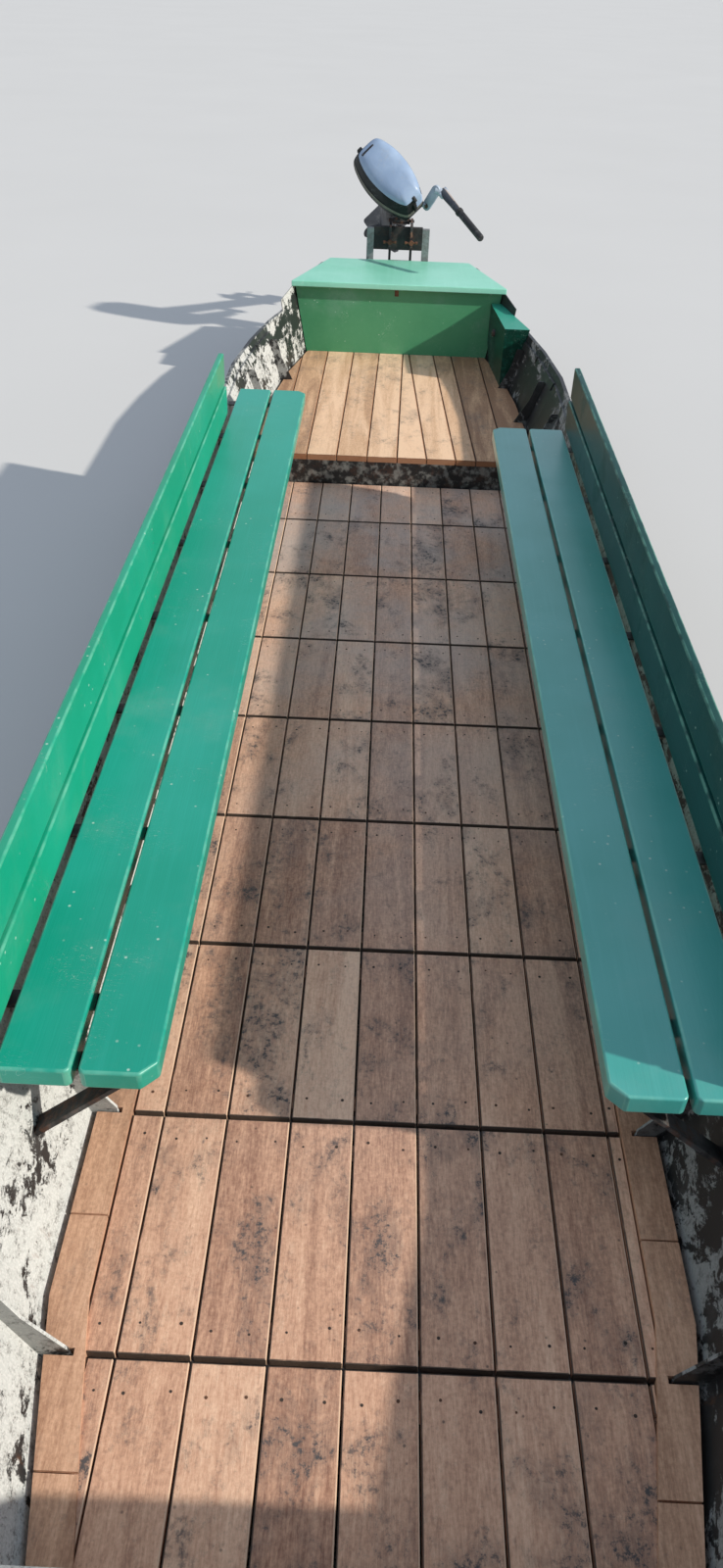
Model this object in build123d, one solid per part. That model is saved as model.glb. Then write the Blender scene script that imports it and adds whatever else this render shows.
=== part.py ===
"""Open flat-bottomed steel boat with side benches and a small outboard motor.

Millimetres. +Z is up, the bow points along -Y and +X is port.
The origin lies on the underside of the flat bottom, on the centre line, amidships.
"""
from build123d import *
import os

os.makedirs("parts", exist_ok=True)

# Plates of the hull
PLATE = 4.0
SIDE_T = 4.4
FRAME_PITCH = 500.0

# Outward lean of the sides, as a slope: along the boat, and at the stern
FLARE = 0.384
STERN_LEAN = 0.176

# Hull sections from bow to stern: place, half width and height of the bottom's edge,
# half width and height of the rim
STATIONS = [
    # y, chine_half, chine_z, rim_half, rim_z
    (-4000, 280, 300, 280 + FLARE * 252, 552),
    (-2600, 445, 0, 445 + FLARE * 504, 504),
    (-1900, 568, 0, 568 + FLARE * 504, 504),
    (2300, 568, 0, 568 + FLARE * 504, 504),
    (2700, 574, 40, 722, 504),
    (3050, 560, 75, 664, 504),
    (3420, 503, 112, 503 + STERN_LEAN * 392, 504),
    (4000, 385, 170, 385 + STERN_LEAN * 334, 504),
]
SIDE_NAMES = ["bow", "fore", "mid", "quarter", "aft", "seat", "stern"]
TRANSOM_T = 5.0

# Rim bar, inner bar and frames
RUB_T, RUB_H = 12.0, 30.0
STRINGER_W, STRINGER_H, STRINGER_Z = 9.0, 34.0, 440.0
RIB_T, RIB_DEPTH = 6.0, 38.0
KNEE_REACH, KNEE_TOP, KNEE_Z = 62.0, 235.0, 128.0
CURVE_GAP = 1.5
RIB_YS = [-2000 + FRAME_PITCH * k for k in range(8)] + [1990, 2440, 2945]
CHEEK_Y, CHEEK_LEAN, CHEEK_SLOPE = 3235.0, 0.15, 24.0

# Floor of loose panels on cross bearers
BEARER_TOP = 90.0
BEARER_FLANGE, BEARER_WEB = 56.0, 6.0
BOARD_T = 20.0
FLOOR_Z = BEARER_TOP + BOARD_T
PANEL_HALF, PANEL_GAP = 517.0, 9.0
BOARD_PITCH, BOARD_GAP, SEAM_X0 = 134.6, 1.6, 86.5
BATTEN_W, BATTEN_T = 42.0, 18.0
PANEL_Y0, PANEL_Y1 = -2414.0, 1902.0
MARGIN_IN, MARGIN_OUT = 520.0, 593.0
MARGIN_T = 28.0
MARGIN_JOINTS = [-2190, -1740, -480, 900]

# Foredeck and its bulkhead
FOREDECK_Y = -2430.0
DECK_T = 6.0

# Mooring lugs
LUG_T, LUG_W, LUG_REACH, LUG_BORE = 12.0, 64.0, 70.0, 14.0
LUG_BOW_Y, LUG_STERN_X, LUG_STERN_Z = -3850.0, 320.0, 440.0

# Aft deck, helm seat and quarter box
AFT_Y0, AFT_Y1 = 1912.0, 3460.0
AFT_Z, AFT_T = 240.0, 25.0
AFT_BATTEN, AFT_EDGE = 45.0, 10.0
# Seams of the aft deck: x at the front edge, x at the rear edge
AFT_SEAMS = [(-720, -720), (-528, -520), (-394, -383), (-258, -238), (-120, -94), (16, 40),
             (150, 74), (282, 210), (374, 310), (512, 462), (720, 720)]
SEAT_PANEL_T = 18.0
SEAT_Y0, SEAT_Y1 = 3420.0, 3985.0
SEAT_HALF0, SEAT_HALF1 = 585.0, 405.0
SEAT_Z, SEAT_T = 615.0, 30.0
BOX_Y0, BOX_Y1, BOX_TOP, BOX_BASE = 2970.0, 3457.0, 530.0, 242.0
BOX_HALF0, BOX_HALF1 = 550.0, 508.0

# Side benches: half width from, to
SEAT_TOP, PLANK_T = 510.0, 45.0
PLANKS = {"inner": (400.0, 540.0), "outer": (553.0, 690.0)}
BENCH_Y0 = -1700.0
BENCH_END = {"starboard": 1950.0, "port": 1600.0}
BACK_END = 1600.0
CORNER_CUT = 30.0
BACK_IN, BACK_T = 704.0, 23.0
BACK_PLANKS = {"lower": (520.0, 632.0, 6.0), "upper": (640.0, 762.0, 0.0)}
BRACKET_YS = [-1640.0] + [-1500 + FRAME_PITCH * k for k in range(7)]
BAR_W, BAR_T = 40.0, 6.0
WELD_GAP = 0.4
BACK_CLEAR, BACK_TOP = 514.0, 735.0

# Motor stand on the transom
STAND_X, STAND_Y = -15.0, 4000.0 + TRANSOM_T
POST_X, POST_W, POST_Z = 160.0, 40.0, (180.0, 775.0)
BOARD_HALF, BOARD_Z, BOARD_TH = POST_X - POST_W / 2, (665.0, 782.0), 40.0
# Clamp: left edges and width of its arms, reach and drop of the jaws, height of the screws
ARM_XS, ARM_W = (-68.0, 54.0), 14.0
JAW_REACH, JAW_DROP, ARM_FOOT, SCREW_Z = 24.0, 100.0, 560.0, 715.0

# Outboard motor, in its own upright frame: origin on the tilt pin, y aft
PIVOT = (0.0, 4068.0, 806.0)
TILT, STEER = 58.0, 45.0
STEER_Y = 72.0
PIN_R, SLEEVE_R = 8.0, 17.0
SHAFT_R, TUBE_R = 14.0, 24.0
RUN_FIT = 0.05
PLATE_Z, PROP_Z = -548.0, -673.0
PROP_Y, PROP_R, HUB_R = 212.0, 95.0, 27.0
CASE_END, PROP_SHAFT_R = 196.0, 8.0
BLADES, BLADE_T, BLADE_PITCH = 3, 5.0, 32.0
PAN_Z, BELT_Z, COWL_Z = 76.0, 126.0, 150.0
SHAFT_FOOT, TUBE_Z = -214.0, (-196.0, 26.0)
SLEEVE_HALF, WEB_HALF = 50.0, 34.0
# Blocks that hold the leg on its shaft: spans in x, y and z
YOKE = ((-30, 30), (-26, 70), (32, 60))
LOWER_CLAMP = ((-28, 28), (-24, 64), (-232, -204))
# Plate above the propeller: half width and place, and its corners' radius
PLATE_OUTLINE, PLATE_ROUND, PLATE_T = [(40, 40), (88, 120), (72, 262)], 16.0, 8.0
# Skeg: place and height of its corners
SKEG, SKEG_HALF = [(60, -693), (176, -693), (190, -763), (134, -763)], 4.0
NUT_R, NUT_H = 13.0, 11.0
# Leg down from the tray: height of its top, height, taper, then middle, length, width and nose
LEG_STEPS = [(PAN_Z - 2, 324, 1.7, 110, 124, 96, 34), (-250, 298, 0, 108, 112, 76, 34)]
STRUT_STEP = (PLATE_Z - 0.3, 110, 4.5, 112, 126, 52, 44)
# Torpedo: radius and place along the propeller's shaft
TORPEDO = [(0, 10), (22, 22), (35, 62), (35, 128), (26, CASE_END), (0, CASE_END)]
# Cowl: half width and place of its nose, middle and rear
COWL_NOSE, COWL_MID, COWL_REAR = (60.0, -108.0), (130.0, 105.0), (84.0, 322.0)
COWL_CROWN = 22.0
# Cowl from its joint up: height of a step, its slope inward
COWL_STEPS = [(112, 12), (20, 48), (12, 70)]
# Tiller: bolt and elbow of its bracket, its hinge and the grip's end
TILLER_BOLT, TILLER_ELBOW = (76.0, -120.0, 120.0), (145.0, -116.0, 200.0)
TILLER_HINGE, TILLER_END = (166.0, -156.0, 200.0), (86.0, -527.0, 415.0)
TILLER_BOSS = (48.0, -70.0, 112.0)
GRIP_START, GRIP_R, GRIP_NOSE = 0.40, 17.0, 8.0
COLLAR_R, COLLAR_L = 20.0, 14.0


def section(y):
    """Bottom edge and rim at a place along the hull: chine half, chine z, rim half, rim z."""
    for low, high in zip(STATIONS, STATIONS[1:]):
        if y <= high[0]:
            t = (y - low[0]) / (high[0] - low[0])
            return [a + t * (b - a) for a, b in zip(low[1:], high[1:])]
    return list(STATIONS[-1][1:])


def outer_half(y, z):
    """Half width of the plating's outside at a place and height."""
    chine, chine_z, rim, rim_z = section(y)
    return chine + (z - chine_z) * (rim - chine) / (rim_z - chine_z)


def inner_half(y, z):
    """Half width of the plating's inside at a place and height."""
    return outer_half(y, z) - SIDE_T


def tight_half(y, z, reach):
    """The narrowest inside half width over a stretch round y."""
    return min(inner_half(y - reach, z), inner_half(y + reach, z))


def face(points):
    """A flat face through points in space."""
    return Face(Wire.make_polygon([Vector(*p) for p in points]))


def prism(points, along):
    """A flat face pushed along a vector."""
    way = Vector(*along)
    return extrude(face(points), amount=way.length, dir=way.normalized())


def block(x, y, z):
    """A box between low and high values on each axis."""
    corner = (min(x), min(y), min(z))
    size = (max(x) - min(x), max(y) - min(y), max(z) - min(z))
    return Pos(*corner) * Box(*size, align=(Align.MIN, Align.MIN, Align.MIN))


def both(shape):
    """The shape and its mirror image on the other side."""
    return [shape, mirror(shape, about=Plane.YZ)]


def rod(start, end, radius):
    """A round bar between two points."""
    way = Vector(*end) - Vector(*start)
    plane = Plane(origin=start, z_dir=way.normalized())
    return extrude(plane * Circle(radius), amount=way.length)


def bar(start, end, radius, sides):
    """A bar with flat sides between two points."""
    way = Vector(*end) - Vector(*start)
    plane = Plane(origin=start, z_dir=way.normalized())
    return extrude(plane * RegularPolygon(radius, sides), amount=way.length)


def save(name, *shapes):
    """Write one node of one or more solids that don't touch."""
    solids = [solid for shape in shapes for solid in shape.solids()]
    export_step(Compound(solids) if len(solids) > 1 else solids[0], f"parts/{name}.step")


# Hull plating


def bottom_plate(ys):
    """A flat bottom plate through the stations at ys."""
    rows = [(y, section(y)[0], section(y)[1]) for y in ys]
    points = [(half, y, z) for y, half, z in rows]
    points += [(-half, y, z) for y, half, z in reversed(rows)]
    return prism(points, (0, 0, PLATE))


def lean(y):
    """Slope of the side at a place along the hull."""
    chine, chine_z, rim, rim_z = section(y)
    return (rim - chine) / (rim_z - chine_z)


def side_plate(y0, y1):
    """One side's plating between two stations: flat, or twisted where the lean changes."""
    edges = []
    for y in (y0, y1):
        _, chine_z, rim, rim_z = section(y)
        foot = outer_half(y, chine_z + PLATE)
        edges.append([(foot, y, chine_z + PLATE), (rim, y, rim_z)])
    if abs(lean(y0) - lean(y1)) < 1e-6:
        return prism(edges[0] + edges[1][::-1], (-SIDE_T, 0, 0))
    return loft([face(edge + [(x - SIDE_T, y, z) for x, y, z in reversed(edge)]) for edge in edges],
                ruled=True)


def end_plate(y, along, top=None):
    """A transom across the hull's end."""
    chine, chine_z, rim, rim_z = section(y)
    points = [(chine, y, chine_z), (rim, y, rim_z)]
    if top is not None:
        points.append((rim + CHEEK_LEAN * (top - rim_z), y, top))
    points += [(-x, y, z) for x, y, z in reversed(points)]
    return prism(points, (0, along, 0))


def build_hull():
    """Bottom, sides and ends."""
    save("bottom_mid", bottom_plate([-2600, -1900, 2300]))
    save("bottom_bow", bottom_plate([-4000, -2600]))
    save("bottom_stern", bottom_plate([2300, 2700, 3050, 3420, 4000]))
    for name, low, high in zip(SIDE_NAMES, STATIONS, STATIONS[1:]):
        save(f"side_plates_{name}", *both(side_plate(low[0], high[0])))
    save("bow_transom", end_plate(-4000, -TRANSOM_T))
    save("stern_transom", end_plate(4000, TRANSOM_T, SEAT_Z - SEAT_T))


def strip(y0, y1, z, height, inside, outside):
    """A bar along the plating: z and height of its foot, offsets of its faces from the plating.

    z and height are functions of the place along the hull.
    """
    faces = []
    for y in (y0, y1):
        foot, top = z(y), z(y) + height
        faces.append(face([
            (outer_half(y, foot) + inside, y, foot), (outer_half(y, top) + inside, y, top),
            (outer_half(y, top) + outside, y, top), (outer_half(y, foot) + outside, y, foot)]))
    return loft(faces, ruled=True)


def rub_rail(ys):
    """The rubbing bar outside the plating, flush with the rim, in straight runs."""
    rail = None
    for y0, y1 in zip(ys, ys[1:]):
        gap = CURVE_GAP / 5 if y0 >= 2300 else 0
        run = strip(y0, y1, lambda y: section(y)[3] - RUB_H, RUB_H, gap, gap + RUB_T)
        rail = run if rail is None else rail + run
    return rail


def inner_rail(y0, y1):
    """The bar along the inside of the plating, just under the rim."""
    inside = -SIDE_T - (CURVE_GAP if y0 > 2300 else 0)
    return strip(y0, y1, lambda y: STRINGER_Z, STRINGER_H, inside - STRINGER_W, inside)


def rib(y):
    """A flat bar up the side with a knee plate at its foot."""
    y0, half_t = y - RIB_T / 2, RIB_T / 2
    base = section(y)[1] + PLATE + 1.5
    floor = KNEE_Z if y < AFT_Y0 else AFT_Z + 2
    knee_top = floor + KNEE_TOP - KNEE_Z
    low, high = max(base, 0), STRINGER_Z - 1

    def hull(z):
        return tight_half(y, z, half_t) - (CURVE_GAP / 3 if y > 2300 else 0)

    points = [
        (hull(low), low), (hull(high), high), (hull(high) - RIB_DEPTH, high),
        (hull(knee_top) - RIB_DEPTH, knee_top), (hull(floor) - KNEE_REACH, floor),
        (hull(floor) - KNEE_REACH, floor - 8), (hull(low) - RIB_DEPTH, low)]
    return prism([(x, y0, z) for x, z in points], (0, RIB_T, 0))


def cheek_plate():
    """The plating's raised strip beside the helm seat, sloped down at its front."""
    top, low = SEAT_Z - SEAT_T, section(3420)[3]
    profiles = [
        [(CHEEK_Y, low), (3420, low), (3420, top), (CHEEK_Y, top - CHEEK_SLOPE)],
        [(3420, low), (4000, low), (4000, top), (3420, top)]]
    cheek = None
    for profile in profiles:
        plate = prism([(inner_half(y, low) + CHEEK_LEAN * (z - low), y, z) for y, z in profile],
                      (SIDE_T, 0, 0))
        cheek = plate if cheek is None else cheek + plate
    return cheek


def build_rims_and_frames():
    """Rim bars, inner bars, ribs, floor bearers and the raised cheeks beside the helm seat."""
    save("gunwale_bow", *both(rub_rail([-4000, -2600, -1900])))
    save("gunwale_mid", *both(rub_rail([-1900, 2300])))
    save("gunwale_aft", *both(rub_rail([2300, 2700, 3050, 3420])))
    runs = [(-1890, 2290), (2310, 2690), (2710, BOX_Y0 - 8)]
    save("inner_rails", *[bar for y0, y1 in runs for bar in both(inner_rail(y0, y1))])
    ribs = []
    for y in RIB_YS:
        ribs += both(rib(y))
    save("ribs", *ribs)
    bearers = []
    reach = BEARER_FLANGE / 2
    rows = [(PANEL_Y0 + 3, 3, 24)] + [(y, reach, reach) for y in RIB_YS[:8]]
    rows += [(PANEL_Y1 - 3, 24, 3)]
    for y, ahead, behind in rows:
        half = tight_half(y, PLATE, reach) - RIB_DEPTH - 12
        web = block((-half, half), (y - BEARER_WEB / 2, y + BEARER_WEB / 2), (PLATE, BEARER_TOP - 5))
        flange = block((-half, half), (y - ahead, y + behind), (BEARER_TOP - 6, BEARER_TOP))
        bearers.append(web + flange)
    save("floor_bearers", *bearers)
    save("stern_cheeks", *both(cheek_plate()))


def build_foredeck():
    """Flush steel foredeck with its bulkhead and a mooring lug."""
    y0, ym, y1 = FOREDECK_Y, -2600, -4000
    rows = [(y, section(y)[2] + RUB_T, section(y)[3]) for y in (y0, ym)]
    flat = prism([(h, y, z) for y, h, z in rows] + [(-h, y, z) for y, h, z in reversed(rows)],
                 (0, 0, DECK_T))
    rows = [(y, section(y)[2] + RUB_T, section(y)[3]) for y in (ym, y1)]
    rise = prism([(h, y, z) for y, h, z in rows] + [(-h, y, z) for y, h, z in reversed(rows)],
                 (0, 0, DECK_T))
    save("foredeck", flat + rise)
    foot, top = PLATE, section(y0)[3]
    points = [(inner_half(y0 - PLATE, z), z) for z in (foot, top)]
    points += [(-x, z) for x, z in reversed(points)]
    save("fore_bulkhead", prism([(x, y0, z) for x, z in points], (0, -PLATE, 0)))


def lug(y_root, z_root, x, upward):
    """A welded mooring lug with a round eye: on a deck, or on a transom."""
    width, reach, bore = LUG_W, LUG_REACH, LUG_BORE
    if upward:
        plate = block((x - LUG_T / 2, x + LUG_T / 2), (y_root - width / 2, y_root + width / 2),
                      (z_root, z_root + reach))
        eye = (y_root, z_root + reach - width / 2 + 4)
    else:
        plate = block((x - LUG_T / 2, x + LUG_T / 2), (y_root, y_root + reach),
                      (z_root - width / 2, z_root + width / 2))
        eye = (y_root + reach - width / 2 + 4, z_root)
    return plate - rod((x - 20, *eye), (x + 20, *eye), bore)


def build_lugs():
    """Mooring lugs at the bow and on the stern transom."""
    deck = section(LUG_BOW_Y - LUG_W / 2)[3] + DECK_T
    save("mooring_lugs", lug(LUG_BOW_Y, deck, 0, True),
         *both(lug(4000 + TRANSOM_T, LUG_STERN_Z, LUG_STERN_X, False)))


# Floor


def board_edges(half):
    """Left and right edges of the boards across a panel."""
    seams = [SEAM_X0 + BOARD_PITCH * i for i in range(-5, 5)]
    cuts = [-half] + [x for x in seams if abs(x) < half - 8] + [half]
    gap = BOARD_GAP / 2
    return [(a + (gap if a > -half else 0), b - (gap if b < half else 0))
            for a, b in zip(cuts, cuts[1:])]


def floor_panel(y0, y1):
    """Boards side by side on two battens."""
    panel = None
    for x0, x1 in board_edges(PANEL_HALF):
        board = block((x0, x1), (y0, y1), (BEARER_TOP, FLOOR_Z))
        panel = board if panel is None else panel + board
    inset = BEARER_FLANGE / 2 + 8
    for y in (y0 + inset, y1 - inset - BATTEN_W):
        batten = block((-PANEL_HALF + 14, PANEL_HALF - 14), (y, y + BATTEN_W),
                       (BEARER_TOP - BATTEN_T, BEARER_TOP))
        panel = panel + batten
    return panel


def margin_edge(y):
    """Inner and outer half width of the margin plank."""
    outer = min(MARGIN_OUT, tight_half(y, BEARER_TOP, 0) - 3)
    return min(MARGIN_IN, outer - (MARGIN_OUT - MARGIN_IN)), outer


def build_floor():
    """Lift-out floor panels and the margin planks beside them."""
    joints = [-2000 + FRAME_PITCH * k for k in range(8)]
    starts = [PANEL_Y0] + [y + PANEL_GAP / 2 for y in joints]
    ends = [y - PANEL_GAP / 2 for y in joints] + [PANEL_Y1]
    outline = []
    for y in (PANEL_Y0 - 1, -2060, -1900, PANEL_Y1 + 1):
        outline.append((margin_edge(y)[0] - 3, y, 0))
    outline += [(-x, y, z) for x, y, z in reversed(outline)]
    well = prism(outline, (0, 0, 300))
    for number, (y0, y1) in enumerate(zip(starts, ends), 1):
        save(f"floor_panel_{number}", floor_panel(y0, y1) & well)
    notches = [block((inner_half(y, 118) - KNEE_REACH - 6, 900), (y - 7, y + 7), (0, 300))
               for y in RIB_YS[:8]]
    planks = []
    cuts = [PANEL_Y0] + MARGIN_JOINTS + [PANEL_Y1]
    for y0, y1 in zip(cuts, cuts[1:]):
        ys = [y0 + 2] + [y for y in (-2060, -1900) if y0 < y < y1] + [y1 - 2]
        inner = [(margin_edge(y)[0], y, BEARER_TOP) for y in ys]
        outer = [(margin_edge(y)[1], y, BEARER_TOP) for y in reversed(ys)]
        plank = prism(inner + outer, (0, 0, MARGIN_T))
        for notch in notches:
            plank = plank - notch
        planks += both(plank)
    save("margin_planks", *planks)


# Stern


def aft_deck():
    """Tapered deck boards on cross battens, cut out round the ribs."""
    y0, y1 = AFT_Y0, AFT_Y1
    base = AFT_Z - AFT_T
    outline = [(tight_half(y, base, 0) - AFT_EDGE, y, base) for y in (y0, 2300, 2700, 3050, 3420, y1)]
    outline += [(-x, y, z) for x, y, z in reversed(outline)]
    sheet = prism(outline, (0, 0, AFT_T))
    gap = BOARD_GAP / 2
    deck = None
    for (fore0, aft0), (fore1, aft1) in zip(AFT_SEAMS, AFT_SEAMS[1:]):
        board = prism([(fore0 + gap, y0, base), (fore1 - gap, y0, base),
                       (aft1 - gap, y1, base), (aft0 + gap, y1, base)], (0, 0, AFT_T)) & sheet
        deck = board if deck is None else deck + board
    for y in (y0 + 12, y0 + 140, (y0 + y1) / 2 + 60, y1 - 160):
        half = tight_half(y + AFT_BATTEN / 2, base - AFT_T, AFT_BATTEN / 2) - 4
        deck = deck + block((-half, half), (y, y + AFT_BATTEN), (base - AFT_T, base))
    for y in RIB_YS[8:]:
        half = inner_half(y, AFT_Z) - KNEE_REACH - 6
        for side in (-1, 1):
            deck = deck - block((side * half, side * 900), (y - 6, y + 6), (0, 400))
    return deck.solids()


def quarter_box():
    """Box in the port quarter: upright inner side, outer side flat and along the plating."""
    y0, y1 = BOX_Y0, BOX_Y1
    foot, top0, top1 = [inner_half(y, z) - CURVE_GAP
                        for y, z in ((y0, BOX_BASE), (y0, BOX_TOP), (y1, BOX_TOP))]
    outer = [(foot, y0, BOX_BASE), (top0, y0, BOX_TOP), (top1, y1, BOX_TOP),
             (foot + top1 - top0, y1, BOX_BASE)]
    plan = [(BOX_HALF0, y0), (top0 + 9, y0), (top0 + 9, y1), (BOX_HALF1, y1)]
    return prism(outer, (-BOX_HALF0, 0, 0)) & prism([(x, y, BOX_BASE) for x, y in plan],
                                                    (0, 0, BOX_TOP - BOX_BASE))


def build_stern():
    """Raised aft deck, helm seat and the quarter box."""
    y0, y1 = AFT_Y0, AFT_Y1
    low = section(y0)[1] + PLATE
    points = [(inner_half(y0, z) - 1, z) for z in (low, AFT_Z - AFT_T)]
    points += [(-x, z) for x, z in reversed(points)]
    save("aft_riser", prism([(x, y0, z) for x, z in points], (0, 6, 0)))
    save("aft_deck", *aft_deck())
    top = SEAT_Z - SEAT_T
    ya = AFT_Y1 + SEAT_PANEL_T
    points = [(tight_half(ya, z, 0) - 3, z) for z in (section(ya)[1] + PLATE + 8, 504, top)]
    points += [(-x, z) for x, z in reversed(points)]
    save("helm_seat_front", prism([(x, AFT_Y1, z) for x, z in points], (0, SEAT_PANEL_T, 0)))
    save("helm_seat_top", prism([
        (SEAT_HALF0, SEAT_Y0, top), (SEAT_HALF1, SEAT_Y1, top),
        (-SEAT_HALF1, SEAT_Y1, top), (-SEAT_HALF0, SEAT_Y0, top)], (0, 0, SEAT_T)))
    save("quarter_box", quarter_box())


# Benches


def plank(x0, x1, y0, y1, inner_cut):
    """A seat plank with eased long edges and cut corners."""
    cut = CORNER_CUT
    points = [(x0 + cut, y0), (x1 - 8, y0), (x1, y0 + 8), (x1, y1 - 8), (x1 - 8, y1)]
    points += [(x0 + cut, y1), (x0, y1 - cut), (x0, y0 + cut)]
    if not inner_cut:
        points = [(x0 + 8, y0), (x1 - 8, y0), (x1, y0 + 8), (x1, y1 - 8), (x1 - 8, y1)]
        points += [(x0 + 8, y1), (x0, y1 - 8), (x0, y0 + 8)]
    body = prism([(x, y, SEAT_TOP - PLANK_T) for x, y in points], (0, 0, PLANK_T))
    rim = body.faces().sort_by(Axis.Z)[-1].edges()
    return chamfer(rim, 5)


def bracket(y, upright):
    """Steel bar under the seat, its diagonal strut and the upright behind the back rest."""
    y0 = y - BAR_W / 2
    under, foot = SEAT_TOP - PLANK_T, SEAT_TOP - PLANK_T - BAR_T
    back = BACK_IN + BACK_T + 0.5
    depth = RIB_DEPTH if y in RIB_YS else 0.0

    def rail(z):
        return inner_half(y, z) - STRINGER_W - WELD_GAP

    def side(z):
        return inner_half(y, z) - depth - WELD_GAP

    profiles = [
        [(410, foot), (rail(foot), foot), (rail(under), under), (410, under)],
        [(430, foot), (442, foot), (side(262), 262), (side(250), 250)]]
    if upright:
        profiles.append([
            (rail(foot) - BAR_T, foot), (rail(foot), foot), (back + BAR_T, BACK_CLEAR),
            (back + BAR_T, BACK_TOP), (back, BACK_TOP), (back, BACK_CLEAR)])
    shape = None
    for profile in profiles:
        leg = prism([(x, y0, z) for x, z in profile], (0, BAR_W, 0))
        shape = leg if shape is None else shape + leg
    return shape


def build_benches():
    """Seat planks, back rests and their brackets on both sides."""
    for side, sign in (("port", 1), ("starboard", -1)):
        y_end = BENCH_END[side]
        seats = [plank(*PLANKS["inner"], BENCH_Y0, y_end, True),
                 plank(*PLANKS["outer"], BENCH_Y0, y_end, False)]
        backs = []
        for low, high, proud in BACK_PLANKS.values():
            board = block((BACK_IN - proud, BACK_IN + BACK_T), (BENCH_Y0, BACK_END), (low, high))
            backs.append(chamfer(board.edges().filter_by(Axis.Y), 4))
        brackets = [bracket(y, True) for y in BRACKET_YS]
        if side == "starboard":
            brackets.append(bracket(1890.0, False))
            seats, backs, brackets = [[mirror(s, about=Plane.YZ) for s in group]
                                      for group in (seats, backs, brackets)]
        save(f"bench_seat_{side}", *seats)
        save(f"bench_back_{side}", *backs)
        save(f"bench_brackets_{side}", *brackets)


# Motor stand and clamp


def build_motor_stand():
    """Two posts and the pad on the transom, with the motor's clamp bracket on the pad."""
    y = STAND_Y
    post = block((POST_X - POST_W / 2, POST_X + POST_W / 2), (y, y + POST_W), POST_Z)
    save("motor_posts", *[Pos(STAND_X, 0, 0) * side for side in both(post)])
    save("motor_pad", block((STAND_X - BOARD_HALF, STAND_X + BOARD_HALF), (y, y + BOARD_TH), BOARD_Z))
    top, pivot_y, pivot_z = BOARD_Z[1], PIVOT[1], PIVOT[2]
    front, jaw, back = y - JAW_REACH, top - JAW_DROP, y + BOARD_TH + 1
    profile = [(front, jaw), (front, top + 4), (front + 12, top + 16), (pivot_y - 16, pivot_z + 14),
               (pivot_y + 14, pivot_z + 14), (pivot_y + 20, pivot_z - 10), (back + 21, ARM_FOOT),
               (back, ARM_FOOT), (back, top + 2), (y - 2, top + 2), (y - 2, jaw)]
    clamp = rod((-74, pivot_y, pivot_z), (74, pivot_y, pivot_z), PIN_R)
    clamp = clamp + block((-60, 60), (back, back + 11), (ARM_FOOT + 10, ARM_FOOT + 40))
    for x0 in ARM_XS:
        middle = x0 + ARM_W / 2
        clamp = clamp + prism([(x0, a, b) for a, b in profile], (ARM_W, 0, 0))
        clamp = clamp + bar((middle, y - 2, SCREW_Z), (middle, y - 62, SCREW_Z), 7, 12)
        clamp = clamp + bar((middle - 29, y - 56, SCREW_Z), (middle + 29, y - 56, SCREW_Z), 4, 8)
    save("clamp_bracket", clamp)


# Motor


def placed(shape, steered=True):
    """Tilt and steer a shape of the motor's own frame into its place."""
    where = Pos(*PIVOT) * Rot(X=TILT) * Pos(0, STEER_Y, 0)
    return (where * Rot(Z=STEER) if steered else where) * shape


def save_motor(name, *shapes, steered=True):
    """Write a node of the motor."""
    save(name, *[placed(shape, steered) for shape in shapes])


def swivel_bracket():
    """Sleeve on the tilt pin and the steering tube, joined by a web."""
    half = SLEEVE_HALF
    sleeve = rod((-half, -STEER_Y, 0), (half, -STEER_Y, 0), SLEEVE_R)
    tube = rod((0, 0, TUBE_Z[0]), (0, 0, TUBE_Z[1]), TUBE_R)
    web = prism([(-WEB_HALF, y, z) for y, z in (
        (-STEER_Y, 14), (-12, 20), (-12, -150), (-30, -150), (-STEER_Y + 8, -14))],
        (2 * WEB_HALF, 0, 0))
    pin_bore = rod((-half - 1, -STEER_Y, 0), (half + 1, -STEER_Y, 0), PIN_R + RUN_FIT)
    shaft_bore = rod((0, 0, TUBE_Z[0] - 1), (0, 0, TUBE_Z[1] + 1), SHAFT_R + RUN_FIT)
    return sleeve + tube + web - pin_bore - shaft_bore


def leg_step(z, height, taper, y, length, width, nose):
    """A stretch of the leg down from z: a pointed nose, straight sides and a narrow tail."""
    half, front, back = width / 2, y - length / 2, y + length / 2
    points = [(0, front), (half, front + nose), (half, back - nose * 1.3), (half * 0.45, back)]
    points += [(-x, v) for x, v in reversed(points[1:])]
    outline = make_face(Polyline(*points, close=True))
    return extrude(Pos(0, 0, z) * outline, amount=-height, taper=taper)


def motor_leg():
    """Shaft, yoke, lower clamp, housing and the plate above the propeller."""
    shaft = rod((0, 0, SHAFT_FOOT), (0, 0, PAN_Z - 2), SHAFT_R)
    upper, lower = [leg_step(*row) for row in LEG_STEPS]
    corners = PLATE_OUTLINE + [(-x, y) for x, y in reversed(PLATE_OUTLINE)]
    outline = make_face(Polyline(*corners, close=True))
    plate = extrude(Pos(0, 0, PLATE_Z) * fillet(outline.vertices(), PLATE_ROUND), amount=PLATE_T)
    return upper + lower + plate + shaft + block(*YOKE) + block(*LOWER_CLAMP)


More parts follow.
